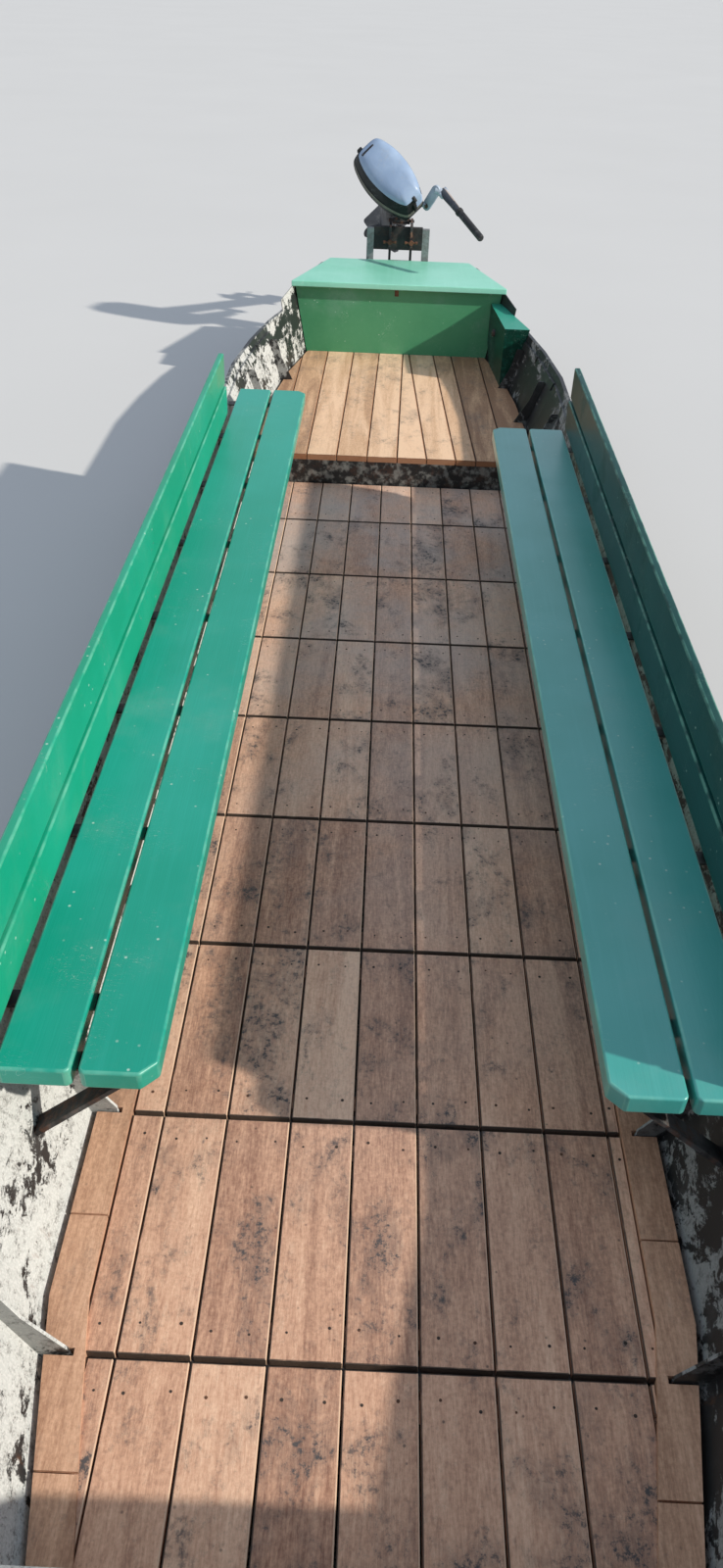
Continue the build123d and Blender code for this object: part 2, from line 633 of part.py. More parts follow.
def gearcase():
    """Strut, torpedo, skeg and the propeller's shaft."""
    strut = leg_step(*STRUT_STEP)
    torpedo = Pos(0, 0, PROP_Z) * revolve(make_face(Polyline(*TORPEDO, close=True)), Axis.Y)
    skeg = prism([(-SKEG_HALF, y, z) for y, z in SKEG], (2 * SKEG_HALF, 0, 0))
    nut_y = PROP_Y + 51
    shaft = rod((0, CASE_END - 10, PROP_Z), (0, nut_y + 5, PROP_Z), PROP_SHAFT_R)
    nut = bar((0, nut_y, PROP_Z), (0, nut_y + NUT_H, PROP_Z), NUT_R, 6)
    return strut + torpedo + skeg + shaft + nut


def cowl_outline(grow=0.0):
    """Plan of the cowl: blunt nose, full middle, crowned rear."""
    nose, mid, rear = [(half + grow, y) for half, y in (COWL_NOSE, COWL_MID, COWL_REAR)]
    half = [Line((0, nose[1]), nose), ThreePointArc(nose, mid, rear),
            Line(rear, (0, rear[1] + COWL_CROWN))]
    other = [mirror(edge, about=Plane.YZ) for edge in half]
    outline = make_face(half + other)
    corners = [v for v in outline.vertices() if abs(v.X) > 1]
    return fillet(corners, 18)


def cowl():
    """Top cowl, drawn in by steps to a crowned top."""
    layer, level, body = cowl_outline(), COWL_Z, None
    for height, slope in COWL_STEPS:
        step = extrude(Pos(0, 0, level) * layer, amount=height, taper=slope)
        body = step if body is None else body + step
        level += height
        layer = Pos(0, 0, -level) * step.faces().sort_by(Axis.Z)[-1]
    return body


def motor_pan():
    """Tray under the cowl: a belt, and a narrower foot below it."""
    belt = extrude(Pos(0, 0, BELT_Z) * cowl_outline(-2), amount=COWL_Z - BELT_Z - 0.3)
    return belt + extrude(Pos(0, 0, PAN_Z) * offset(cowl_outline(), amount=-16), amount=BELT_Z - PAN_Z)


def tiller_point(share):
    """A point between the tiller's hinge and the grip's end."""
    return Vector(*TILLER_HINGE) + (Vector(*TILLER_END) - Vector(*TILLER_HINGE)) * share


def tiller_arm():
    """Cast bracket bolted to the tray's corner, hinge barrel and tapered arm."""
    bolt, elbow, hinge = Vector(*TILLER_BOLT), Vector(*TILLER_ELBOW), Vector(*TILLER_HINGE)
    climb = elbow - bolt
    lug = Plane(origin=(bolt + elbow) / 2, x_dir=climb, z_dir=climb.cross(Vector(0, 1, 0)))
    cast = extrude(lug * SlotCenterToCenter(climb.length, 44), amount=8, both=True)
    boss = rod(bolt, TILLER_BOSS, 12) - motor_pan()
    barrel = rod(hinge - Vector(24, 0, 0), hinge + Vector(22, 0, 0), 18)
    knuckle = rod(elbow, hinge, 16)
    start = tiller_point(GRIP_START)
    line = Plane(origin=hinge, z_dir=start - hinge)
    arm = extrude(line * Circle(19), amount=(start - hinge).length, taper=2.2)
    return cast + boss + barrel + knuckle + arm


def tiller_grip():
    """Round grip with a collar at its root and an eased end."""
    root, end = tiller_point(GRIP_START), tiller_point(1)
    long = (end - root).length
    rows = [(0, RUN_FIT), (COLLAR_R, RUN_FIT), (COLLAR_R, COLLAR_L), (GRIP_R, COLLAR_L),
            (GRIP_R, long - GRIP_NOSE), (GRIP_R - GRIP_NOSE, long), (0, long)]
    turned = revolve(make_face(Polyline(*[(r, 0, s) for r, s in rows], close=True)), Axis.Z)
    return Plane(origin=root, z_dir=end - root) * turned


def blade():
    """One propeller blade standing up along Z, turned to its pitch."""
    root, tip = HUB_R - 8, PROP_R
    outline = make_face([
        Line((-17, root), (17, root)), ThreePointArc((17, root), (36, root + 45), (8, tip)),
        Line((8, tip), (-12, tip - 3)), ThreePointArc((-12, tip - 3), (-27, root + 34), (-17, root))])
    upright = Rot(X=90) * outline
    return Rot(Z=BLADE_PITCH) * extrude(upright, amount=BLADE_T / 2, both=True)


def build_motor():
    """All nodes of the motor that tilt, steer or spin."""
    save_motor("swivel_bracket", swivel_bracket(), steered=False)
    save_motor("motor_leg", motor_leg())
    save_motor("gearcase", gearcase())
    save_motor("motor_pan", motor_pan())
    save_motor("motor_cowl", cowl())
    save_motor("tiller_arm", tiller_arm())
    save_motor("tiller_grip", tiller_grip())
    hub = Plane(origin=(0, PROP_Y - 14, PROP_Z), z_dir=(0, 1, 0)) * Circle(HUB_R)
    propeller = extrude(hub, amount=62)
    for k in range(BLADES):
        propeller = propeller + Pos(0, PROP_Y + 17, PROP_Z) * Rot(Y=360 / BLADES * k) * blade()
    bore = rod((0, PROP_Y - 40, PROP_Z), (0, PROP_Y + 90, PROP_Z), PROP_SHAFT_R + RUN_FIT)
    save_motor("propeller", propeller - bore)


build_hull()
build_rims_and_frames()
build_foredeck()
build_lugs()
build_floor()
build_stern()
build_benches()
build_motor_stand()
build_motor()
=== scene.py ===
"""Looks of an open flat-bottomed steel boat with plank benches and a tilted outboard motor.

Metres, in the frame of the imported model: +Z is up, the bow points to -Y and port is +X.
"""
from __future__ import annotations

import logging
import math
import random
from dataclasses import dataclass, field
from enum import Enum

import bmesh
import bpy
from mathutils import Matrix, Vector


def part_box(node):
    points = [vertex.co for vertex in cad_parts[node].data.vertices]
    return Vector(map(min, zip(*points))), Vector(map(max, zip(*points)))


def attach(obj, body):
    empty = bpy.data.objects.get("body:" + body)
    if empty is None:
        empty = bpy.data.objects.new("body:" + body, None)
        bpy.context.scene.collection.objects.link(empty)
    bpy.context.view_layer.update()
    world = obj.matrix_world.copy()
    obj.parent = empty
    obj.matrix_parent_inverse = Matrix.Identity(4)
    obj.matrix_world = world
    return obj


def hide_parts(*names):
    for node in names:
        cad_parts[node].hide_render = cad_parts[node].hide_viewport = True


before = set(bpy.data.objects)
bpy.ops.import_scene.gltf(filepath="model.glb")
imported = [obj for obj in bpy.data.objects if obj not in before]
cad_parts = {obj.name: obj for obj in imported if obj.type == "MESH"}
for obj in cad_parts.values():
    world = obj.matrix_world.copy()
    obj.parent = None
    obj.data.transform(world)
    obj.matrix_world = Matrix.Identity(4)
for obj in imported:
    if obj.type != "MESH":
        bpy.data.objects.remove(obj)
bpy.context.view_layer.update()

LOG = logging.getLogger("boat")

Colour = tuple[float, float, float]
Point = tuple[float, float, float]
Flat = tuple[float, float]
Socket = bpy.types.NodeSocket

# Places of the share and the two colours among a Mix node's inputs, and of the colour among its outputs
MIX_SHARE, MIX_FIRST, MIX_SECOND, MIX_RESULT = 0, 6, 7, 2
# Where a line's centre is full, as a share of its width
LINE_CORE = 0.3
# Heights nearer than this are one height
TOUCH = 1e-6


class Body(Enum):
    """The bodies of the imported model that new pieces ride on."""

    HULL = "hull"
    MOTOR = "motor"


class Slot(Enum):
    """Names of the record's material slots."""

    GREEN = "green_wood"
    FLOOR = "floor_boards"
    DECK = "deck_boards"
    STEEL = "bare_steel"
    COWL = "motor_grey"
    BLACK = "motor_black"
    LEG = "motor_leg_paint"
    PAN = "motor_pan_plastic"
    GRIP = "grip_rubber"


# Node graphs


class Graph:
    """One material's nodes, built by short calls that return sockets."""

    def __init__(self, name: str, **sockets: float | Colour) -> None:
        """Start a material with one principled shader.

        Args:
            name: the material's name.
            sockets: constants for the shader, named as its sockets with underscores.
        """
        self.material = bpy.data.materials.new(name)
        self.material.use_nodes = True
        self.tree = self.material.node_tree
        self.tree.nodes.clear()
        self.shader = self.add("ShaderNodeBsdfPrincipled")
        output = self.add("ShaderNodeOutputMaterial")
        self.tree.links.new(self.shader.outputs["BSDF"], output.inputs["Surface"])
        for key, value in sockets.items():
            self.constant(key.replace("_", " ").title().replace("Ior", "IOR"), value)

    def constant(self, socket: str, value: float | Colour) -> None:
        """Set one of the shader's own sockets to a value."""
        self.shader.inputs[socket].default_value = (*value, 1.0) if isinstance(value, tuple) else value

    def add(self, kind: str, **settings: object) -> bpy.types.Node:
        """Add a node and set its properties."""
        node = self.tree.nodes.new(kind)
        for key, value in settings.items():
            setattr(node, key, value)
        return node

    def feed(self, target: Socket, value: Socket | float | Colour) -> None:
        """Link a socket, or set the target's own value."""
        if isinstance(value, bpy.types.NodeSocket):
            self.tree.links.new(value, target)
        elif isinstance(value, tuple) and target.type == "RGBA":
            target.default_value = (*value, 1.0)
        else:
            target.default_value = value

    def shade(self, **links: Socket) -> None:
        """Link sockets into the shader by name."""
        for key, value in links.items():
            self.feed(self.shader.inputs[key.replace("_", " ").title()], value)

    def place(self, scale: Point = (1.0, 1.0, 1.0), shift: Socket | None = None) -> Socket:
        """The object's own coordinates, stretched.

        Args:
            scale: the factor along each axis.
            shift: a vector added before stretching.

        Returns:
            The vector socket.
        """
        vector = self.add("ShaderNodeTexCoord").outputs["Object"]
        if shift is not None:
            moved = self.add("ShaderNodeVectorMath", operation="ADD")
            self.feed(moved.inputs[0], vector)
            self.feed(moved.inputs[1], shift)
            vector = moved.outputs["Vector"]
        mapped = self.add("ShaderNodeMapping")
        self.feed(mapped.inputs["Vector"], vector)
        mapped.inputs["Scale"].default_value = scale
        return mapped.outputs["Vector"]

    def axis(self, vector: Socket, letter: str) -> Socket:
        """One coordinate of a vector."""
        parts = self.add("ShaderNodeSeparateXYZ")
        self.feed(parts.inputs[0], vector)
        return parts.outputs[letter]

    def noise(self, vector: Socket, scale: float, detail: float = 4.0, rough: float = 0.55,
              twist: float = 0.0) -> Socket:
        """Fractal noise, from 0 to 1 round one half."""
        node = self.add("ShaderNodeTexNoise")
        self.feed(node.inputs["Vector"], vector)
        for key, value in (("Scale", scale), ("Detail", detail), ("Roughness", rough),
                           ("Distortion", twist)):
            node.inputs[key].default_value = value
        return node.outputs["Fac"]

    def cells(self, vector: Socket, scale: float, spread: float = 1.0) -> Socket:
        """Distance to the nearest of scattered points."""
        node = self.add("ShaderNodeTexVoronoi")
        self.feed(node.inputs["Vector"], vector)
        node.inputs["Scale"].default_value = scale
        node.inputs["Randomness"].default_value = spread
        return node.outputs["Distance"]

    def band(self, value: Socket, low: float, high: float) -> Socket:
        """A smooth step from 0 at low to 1 at high."""
        node = self.add("ShaderNodeMapRange", interpolation_type="SMOOTHSTEP")
        self.feed(node.inputs["Value"], value)
        turned = low > high
        node.inputs["From Min"].default_value = min(low, high)
        node.inputs["From Max"].default_value = max(low, high)
        node.inputs["To Min"].default_value = 1.0 if turned else 0.0
        node.inputs["To Max"].default_value = 0.0 if turned else 1.0
        return node.outputs["Result"]

    def math(self, work: str, first: Socket | float, second: Socket | float = 0.0) -> Socket:
        """A number worked out from one or two others."""
        node = self.add("ShaderNodeMath", operation=work)
        self.feed(node.inputs[0], first)
        self.feed(node.inputs[1], second)
        return node.outputs[0]

    def times(self, first: Socket | float, second: Socket | float) -> Socket:
        """Two numbers multiplied."""
        return self.math("MULTIPLY", first, second)

    def plus(self, first: Socket | float, second: Socket | float) -> Socket:
        """Two numbers added."""
        return self.math("ADD", first, second)

    def line(self, value: Socket, centre: float, width: float) -> Socket:
        """1 where a value is near the centre, falling to 0 at the width."""
        apart = self.math("ABSOLUTE", self.plus(value, -centre))
        return self.band(apart, width, width * LINE_CORE)

    def mix(self, share: Socket | float, first: Socket | Colour, second: Socket | Colour) -> Socket:
        """A colour between two."""
        node = self.add("ShaderNodeMix", data_type="RGBA")
        self.feed(node.inputs[MIX_SHARE], share)
        self.feed(node.inputs[MIX_FIRST], first)
        self.feed(node.inputs[MIX_SECOND], second)
        return node.outputs[MIX_RESULT]

    def ramp(self, value: Socket, stops: list[tuple[float, Colour]]) -> Socket:
        """A colour along a row of stops."""
        node = self.add("ShaderNodeValToRGB")
        self.feed(node.inputs[0], value)
        row = node.color_ramp.elements
        while len(row) < len(stops):
            row.new(0.5)
        for element, (spot, colour) in zip(row, stops):
            element.position = spot
            element.color = (*colour, 1.0)
        return node.outputs["Color"]

    def attribute(self, name: str) -> Socket:
        """A number stored on the mesh's faces."""
        return self.add("ShaderNodeAttribute", attribute_name=name).outputs["Fac"]

    def bump(self, height: Socket, depth: float, strength: float = 1.0) -> None:
        """Raise the surface by a height from 0 to 1.

        Args:
            height: the height's socket.
            depth: the depth in metres at height 1.
            strength: how far the bump is felt.
        """
        node = self.add("ShaderNodeBump")
        node.inputs["Strength"].default_value = strength
        node.inputs["Distance"].default_value = depth
        self.feed(node.inputs["Height"], height)
        self.feed(self.shader.inputs["Normal"], node.outputs["Normal"])


# Finishes


@dataclass(frozen=True)
class BenchPaint:
    """Gloss paint on planks: sun-faded, brushed, dusty, with scratches and edges painted lighter (partly
    worn paint, partly painted highlight); where asked, faces that look up are painted lighter than the
    sides, as painted light and shade.
    """

    name: str
    base: Colour
    faded_and_lit_top: Colour
    # worn: the colour of the eased edges, partly worn paint and partly painted highlight
    worn: Colour = (0.22, 0.56, 0.42)
    dust: Colour = (0.34, 0.46, 0.42)
    scratch: Colour = (0.50, 0.66, 0.57)
    dusty: float = 0.35
    faded_share: float = 0.5
    gloss: float = 0.2
    specks: float = 0.05
    shine: float = 0.5
    # How far faces that look up take the faded colour while the sides keep the darker base: painted light
    # and shade
    lit_top_share: float = 0.0

    def make(self) -> bpy.types.Material:
        """Build the paint."""
        g = Graph(self.name, coat_weight=self.gloss, coat_roughness=0.28, specular_ior_level=self.shine)
        own = g.place()
        cloud = g.noise(own, 1.4, 4, 0.6)
        colour = g.mix(g.times(g.band(cloud, 0.36, 0.66), self.faded_share), self.base, self.faded_and_lit_top)
        upward = g.axis(g.add("ShaderNodeNewGeometry").outputs["True Normal"], "Z")
        # Painted light and shade: faces that look up turn to the faded colour, the sides stay darker
        colour = g.mix(g.times(g.band(upward, 0.30, 0.75), self.lit_top_share), colour, self.faded_and_lit_top)
        brush = g.noise(g.place((55, 1.6, 55)), 1, 5, 0.6)
        colour = g.mix(g.times(g.band(brush, 0.48, 0.75), 0.22), colour, self.faded_and_lit_top)
        patch = g.times(g.band(g.noise(own, 3.1, 6, 0.62), 0.50, 0.72), g.noise(own, 95, 3, 0.7))
        colour = g.mix(g.times(patch, self.dusty), colour, self.dust)
        hair = g.line(g.noise(g.place((7, 26, 7)), 3.2, 2, 0.4, 1.8), 0.5, 0.006)
        hair = g.times(hair, g.band(g.noise(own, 5.2, 2), 0.54, 0.66))
        speck = g.band(g.cells(own, 30), self.specks + 0.07, self.specks)
        speck = g.times(speck, g.band(g.noise(own, 6.3, 3), 0.46, 0.58))
        marks = g.math("MAXIMUM", g.times(hair, 0.75), speck)
        # Eased edges painted lighter: partly worn paint, partly painted highlight
        edge = g.times(g.attribute("edge"), g.band(g.noise(own, 13, 4, 0.6), 0.36, 0.66))
        colour = g.mix(g.times(edge, 0.42), colour, self.worn)
        colour = g.mix(g.times(marks, 0.75), colour, self.scratch)
        g.shade(base_color=colour)
        g.shade(roughness=g.plus(0.36, g.times(g.plus(patch, marks), 0.5)))
        grain = g.noise(g.place((210, 7, 210)), 1, 3, 0.6)
        g.bump(g.plus(g.times(grain, 0.7), g.times(marks, -0.5)), 0.0009, 0.55)
        return g.material


@dataclass(frozen=True)
class Hardwood:
    """Bare sawn hardwood boards: fibres along the boat, a tone for each board, stains, and greying towards
    the stern that is partly painted sky reflection; eased edges painted lighter on the side facing the key
    and darker on the other, and the floor's board ends painted dark, as painted light and shade.
    """

    name: str
    dark: Colour
    middle: Colour
    light: Colour
    # edge and seam: colours of eased edges that face the key at +X and of those that face away: painted
    # light and shade
    edge: Colour
    seam: Colour = (0.045, 0.032, 0.024)
    # end and end_darkening: the colour and share that board ends darken to; on the floor this is painted
    # shade in the gaps between board ends
    end: Colour = (0.045, 0.032, 0.024)
    end_darkening: float = 0.0
    stain: float = 0.5
    soot: Colour = (0.085, 0.075, 0.075)
    fleck: Colour = (0.05, 0.04, 0.035)
    grey: Colour = (0.36, 0.335, 0.315)
    grey_from: float = -2.6
    grey_to: float = 2.6
    grey_share: float = 0.0
    tone_share: float = 0.12
    figure_share: float = 0.35

    def make(self) -> bpy.types.Material:
        """Build the wood."""
        g = Graph(self.name)
        tone = g.attribute("tone")
        shift = g.add("ShaderNodeCombineXYZ")
        g.feed(shift.inputs[0], g.times(tone, 3.7))
        g.feed(shift.inputs[1], g.times(tone, 23.0))
        moved = shift.outputs[0]
        own = g.place()
        figure = g.noise(g.place((13, 1.0, 13), moved), 1, 6, 0.62, 1.3)
        fibre = g.noise(g.place((190, 26, 190), moved), 1, 6, 0.75)
        weave = g.noise(own, 120, 5, 0.75)
        blend = g.plus(g.times(figure, self.figure_share), g.times(fibre, 0.75 - self.figure_share))
        blend = g.plus(blend, g.times(weave, 0.25))
        blend = g.plus(blend, g.times(g.plus(tone, -0.5), self.tone_share))
        colour = g.ramp(blend, [(0.36, self.dark), (0.50, self.middle), (0.64, self.light)])
        # Greying towards the stern: partly weathered wood, partly painted sky reflection on the far boards
        along = g.band(g.axis(own, "Y"), self.grey_from, self.grey_to)
        weathering_and_sheen = g.band(g.noise(own, 2.2, 5, 0.62), 0.30, 0.68)
        colour = g.mix(g.times(g.times(along, weathering_and_sheen), self.grey_share), colour, self.grey)
        cloud = g.noise(g.place((2.6, 2.1, 2.6), moved), 1, 4, 0.6)
        blot = g.noise(g.place((13, 8, 13), moved), 1, 8, 0.72, 0.3)
        wide = g.band(g.plus(g.times(cloud, 0.5), g.times(blot, 0.5)), 0.48, 0.62)
        mould = g.noise(own, 70, 7, 0.78)
        spots = g.band(g.plus(g.times(mould, 0.66), g.times(blot, 0.34)), 0.515, 0.60)
        dirt = g.plus(g.times(wide, 0.42), g.times(g.times(spots, g.plus(wide, 0.35)), 0.50))
        colour = g.mix(g.times(dirt, self.stain), colour, self.soot)
        speck = g.times(g.band(g.cells(own, 30), 0.11, 0.04), g.band(g.noise(own, 3.7, 2), 0.46, 0.58))
        colour = g.mix(g.times(speck, 0.7 * self.stain), colour, self.fleck)
        facing = g.add("ShaderNodeNewGeometry").outputs["True Normal"]
        # Painted light and shade: eased edges facing the key take the edge colour, those facing away the
        # seam colour
        lit_and_shaded_arris = g.mix(g.band(g.axis(facing, "X"), 0.10, 0.45), self.seam, self.edge)
        edge = g.times(g.attribute("edge"), g.band(g.noise(own, 11, 3), 0.20, 0.44))
        colour = g.mix(g.times(edge, 0.92), colour, lit_and_shaded_arris)
        # Board ends darkened to the end colour: on the floor, painted shade in the gaps between board ends
        ends = g.band(g.math("ABSOLUTE", g.axis(facing, "Y")), 0.60, 0.80)
        colour = g.mix(g.times(ends, self.end_darkening), colour, self.end)
        g.shade(base_color=colour)
        g.shade(roughness=g.plus(0.62, g.times(fibre, 0.22)))
        g.bump(g.plus(g.times(fibre, 0.6), g.times(weave, 0.5)), 0.0015, 0.7)
        return g.material


@dataclass(frozen=True)
class HullPaint:
    """Black bitumen on steel, flaked to chalky grey inside, most on the starboard side."""

    name: str
    black: Colour = (0.022, 0.023, 0.024)
    chalk: Colour = (0.54, 0.56, 0.54)
    steel: Colour = (0.20, 0.20, 0.19)
    rust: Colour = (0.17, 0.07, 0.03)
    bright: Colour = (0.68, 0.69, 0.67)
    shaded: Colour = (0.10, 0.10, 0.10)
    weathered: Colour = (0.10, 0.105, 0.105)
    reach: float = 0.42

    def make(self) -> bpy.types.Material:
        """Build the hull's paint."""
        g = Graph(self.name)
        own = g.place()
        across = g.axis(own, "X")
        normal = g.add("ShaderNodeNewGeometry").outputs["Normal"]
        inside = g.band(g.times(g.axis(normal, "X"), across), 0.02, -0.02)
        side = g.band(across, self.reach, -self.reach)
        aft = g.band(g.axis(own, "Y"), 1.5, 3.0)
        lean = g.plus(g.plus(g.times(side, 0.055), -0.003), g.times(aft, -0.046))
        fine = g.noise(g.place((34, 26, 34)), 1, 8, 0.78, 0.6)
        flake = g.plus(g.times(g.noise(g.place((5, 3.4, 6)), 1, 9, 0.72, 0.5), 0.68), g.times(fine, 0.32))
        peel = g.times(g.band(g.plus(flake, lean), 0.492, 0.512), inside)
        mottle = g.noise(own, 42, 8, 0.8)
        under = g.mix(g.band(mottle, 0.36, 0.52), self.steel, self.chalk)
        under = g.mix(g.times(g.band(g.noise(own, 210, 3, 0.6), 0.46, 0.60), 0.6), under, self.bright)
        under = g.mix(g.times(g.band(side, 1.0, 0.0), 0.60), under, self.shaded)
        old = g.times(g.band(g.noise(own, 6.5, 6, 0.7), 0.50, 0.74), 0.55)
        film = g.mix(old, self.black, self.weathered)
        colour = g.mix(peel, film, under)
        bleed = g.times(g.band(g.noise(g.place((9, 9, 3)), 1, 6, 0.72), 0.62, 0.70), 0.55)
        colour = g.mix(bleed, colour, self.rust)
        g.shade(base_color=colour)
        g.shade(roughness=g.plus(0.42, g.times(peel, 0.38)))
        g.bump(g.plus(g.times(peel, -0.7), g.times(mottle, 0.25)), 0.0022, 0.7)
        return g.material


@dataclass(frozen=True)
class PaintedSteel:
    """Brushed paint on steel with worn spots and rust."""

    name: str
    paint: Colour
    worn: Colour = (0.30, 0.30, 0.29)
    rust: Colour = (0.23, 0.085, 0.035)
    grime: Colour = (0.02, 0.02, 0.02)
    wear: float = 0.5
    rusting: float = 0.4
    gloss: float = 0.45
    metal: float = 0.0
    grain: float = 9.0

    def make(self) -> bpy.types.Material:
        """Build the paint."""
        g = Graph(self.name, metallic=self.metal)
        own = g.place()
        broad = g.noise(own, self.grain, 6, 0.66)
        fine = g.noise(own, 64, 5, 0.65)
        colour = g.mix(g.times(g.band(broad, 0.46, 0.62), self.wear), self.paint, self.worn)
        scale = g.band(g.plus(g.times(g.noise(own, 21, 6, 0.7, 0.3), 0.7), g.times(fine, 0.3)), 0.50, 0.60)
        colour = g.mix(g.times(scale, self.rusting), colour, self.rust)
        colour = g.mix(g.times(g.band(fine, 0.40, 0.70), 0.25), colour, self.grime)
        g.shade(base_color=colour)
        g.shade(roughness=g.plus(1.0 - self.gloss - 0.15, g.times(fine, 0.30)))
        g.bump(g.plus(g.times(scale, 0.6), g.times(fine, 0.4)), 0.0008, 0.6)
        return g.material


@dataclass(frozen=True)
class Moulding:
    """Satin moulded cover or casting with handling marks, dust and faint streaks."""

    name: str
    base: Colour
    soft: Colour
    haze: Colour = (0.33, 0.34, 0.34)
    streak: Colour = (0.45, 0.46, 0.47)
    rough: float = 0.36
    dust: float = 0.35
    coat: float = 0.0
    shine: float = 0.5

    def make(self) -> bpy.types.Material:
        """Build the moulding's finish."""
        g = Graph(self.name, coat_weight=self.coat, coat_roughness=0.2, specular_ior_level=self.shine)
        own = g.place()
        cloud = g.noise(own, 7, 5, 0.6)
        colour = g.mix(g.band(cloud, 0.34, 0.68), self.base, self.soft)
        film = g.times(g.band(g.noise(own, 26, 6, 0.7), 0.50, 0.72), self.dust)
        colour = g.mix(g.times(film, 0.6), colour, self.haze)
        hair = g.line(g.noise(g.place((40, 24, 40)), 1, 3, 0.5, 1.4), 0.5, 0.01)
        hair = g.times(hair, g.band(g.noise(own, 15, 2), 0.52, 0.60))
        colour = g.mix(g.times(hair, 0.35), colour, self.streak)
        g.shade(base_color=colour)
        g.shade(roughness=g.plus(self.rough, g.times(film, 0.5)))
        g.bump(g.noise(own, 900, 2, 0.6), 0.0002, 0.35)
        return g.material


class Finishes:
    """Every finish of the boat, made once and looked up by name."""

    TABLE = (
        BenchPaint("starboard green", (0.001, 0.300, 0.210), (0.022, 0.395, 0.315), dusty=0.25),
        BenchPaint("starboard back green", (0.001, 0.310, 0.165), (0.012, 0.390, 0.250), dusty=0.14),
        # port green: its bluer, paler greens are partly painted sky reflection on the port planks
        BenchPaint("port green", (0.026, 0.325, 0.275), (0.100, 0.450, 0.425), dusty=0.25, gloss=0.9),
        # port back green: a near-black copy of the port green, painted shade on the port back
        BenchPaint("port back green", (0.001, 0.050, 0.044), (0.008, 0.085, 0.078), dusty=0.1, gloss=0.02,
                   shine=0.25),
        BenchPaint("seat lid green", (0.230, 0.660, 0.480), (0.400, 0.840, 0.680), dusty=0.22),
        BenchPaint("panel green", (0.045, 0.260, 0.120), (0.100, 0.370, 0.190), dusty=0.45, gloss=0.1,
                   specks=0.04),
        # box green: the near-black base is painted shade on the box's sides, and the faded colour is the
        # box's lit top, as painted light
        BenchPaint("box green", (0.001, 0.032, 0.020), (0.030, 0.320, 0.225), faded_share=0.05, dusty=0.12,
                   gloss=0.05, shine=0.3, lit_top_share=1.0),
        # Floor boards: pale eases facing the key are painted highlight, near-black ends are painted shade
        # between board ends, and the greying towards the stern is partly painted sky reflection
        Hardwood("floor hardwood", (0.320, 0.155, 0.098), (0.660, 0.378, 0.248), (0.900, 0.595, 0.410),
                 (0.84, 0.58, 0.40), end_darkening=0.9, stain=1.0, grey=(0.53, 0.49, 0.46), grey_share=0.8),
        Hardwood("deck hardwood", (0.330, 0.180, 0.100), (0.640, 0.400, 0.235), (0.860, 0.590, 0.385),
                 (0.40, 0.18, 0.09), end=(0.300, 0.115, 0.050), end_darkening=0.85, stain=0.6,
                 soot=(0.13, 0.115, 0.10), tone_share=0.30, figure_share=0.50),
        Hardwood("margin hardwood", (0.400, 0.210, 0.125), (0.660, 0.390, 0.250), (0.850, 0.560, 0.390),
                 (0.80, 0.56, 0.38), stain=0.45),
        HullPaint("hull bitumen"),
        PaintedSteel("black steel", (0.020, 0.020, 0.021), wear=0.35, rusting=0.35),
        PaintedSteel("riser steel", (0.012, 0.012, 0.013), (0.30, 0.30, 0.28), wear=0.7, rusting=0.15,
                     grain=24.0),
        PaintedSteel("galvanised post", (0.25, 0.26, 0.26), (0.40, 0.41, 0.41), rusting=0.15, metal=0.35),
        PaintedSteel("pad board", (0.012, 0.012, 0.013), (0.06, 0.055, 0.05), rusting=0.1, gloss=0.3),
        PaintedSteel("clamp casting", (0.022, 0.022, 0.024), (0.12, 0.12, 0.12),
                     (0.360, 0.180, 0.110), rusting=0.92),
        PaintedSteel("rusty iron", (0.120, 0.050, 0.028), (0.26, 0.13, 0.075), rusting=0.8, gloss=0.15),
        PaintedSteel("screw steel", (0.14, 0.12, 0.10), (0.30, 0.28, 0.25), rusting=0.5, metal=0.6),
        Moulding("cowl grey", (0.250, 0.350, 0.510), (0.330, 0.440, 0.600), rough=0.42, coat=0.1),
        # cowl wall: near-black, partly a darker lower cowl and partly painted shade on the walls
        Moulding("cowl wall", (0.008, 0.010, 0.011), (0.018, 0.021, 0.023), rough=0.55, dust=0.08,
                 shine=0.15),
        Moulding("tray black", (0.012, 0.013, 0.015), (0.024, 0.025, 0.028), rough=0.5, dust=0.15,
                 shine=0.2),
        Moulding("tray rim", (0.115, 0.106, 0.088), (0.185, 0.172, 0.145), rough=0.6, shine=0.2),
        Moulding("leg grey", (0.034, 0.038, 0.045), (0.060, 0.066, 0.076), rough=0.5, dust=0.3, shine=0.3),
        Moulding("tiller grey", (0.340, 0.410, 0.500), (0.440, 0.510, 0.600), rough=0.42),
        Moulding("arm slate", (0.030, 0.036, 0.048), (0.060, 0.068, 0.085), rough=0.5, dust=0.15),
        # arm highlit side: the pale side of the tiller arm that faces the key, a painted highlight
        Moulding("arm highlit side", (0.300, 0.245, 0.215), (0.410, 0.350, 0.315), rough=0.5, dust=0.3),
        PaintedSteel("nail iron", (0.045, 0.032, 0.026), (0.085, 0.060, 0.045), rusting=0.5, gloss=0.1),
        Moulding("grip rubber", (0.012, 0.012, 0.014), (0.026, 0.027, 0.030), rough=0.62, dust=0.5),
    )

    def __init__(self) -> None:
        """Build every material."""
        self.made = {finish.name: finish.make() for finish in self.TABLE}

    def __getitem__(self, name: str) -> bpy.types.Material:
        """The material of that name."""
        return self.made[name]


# Meshes


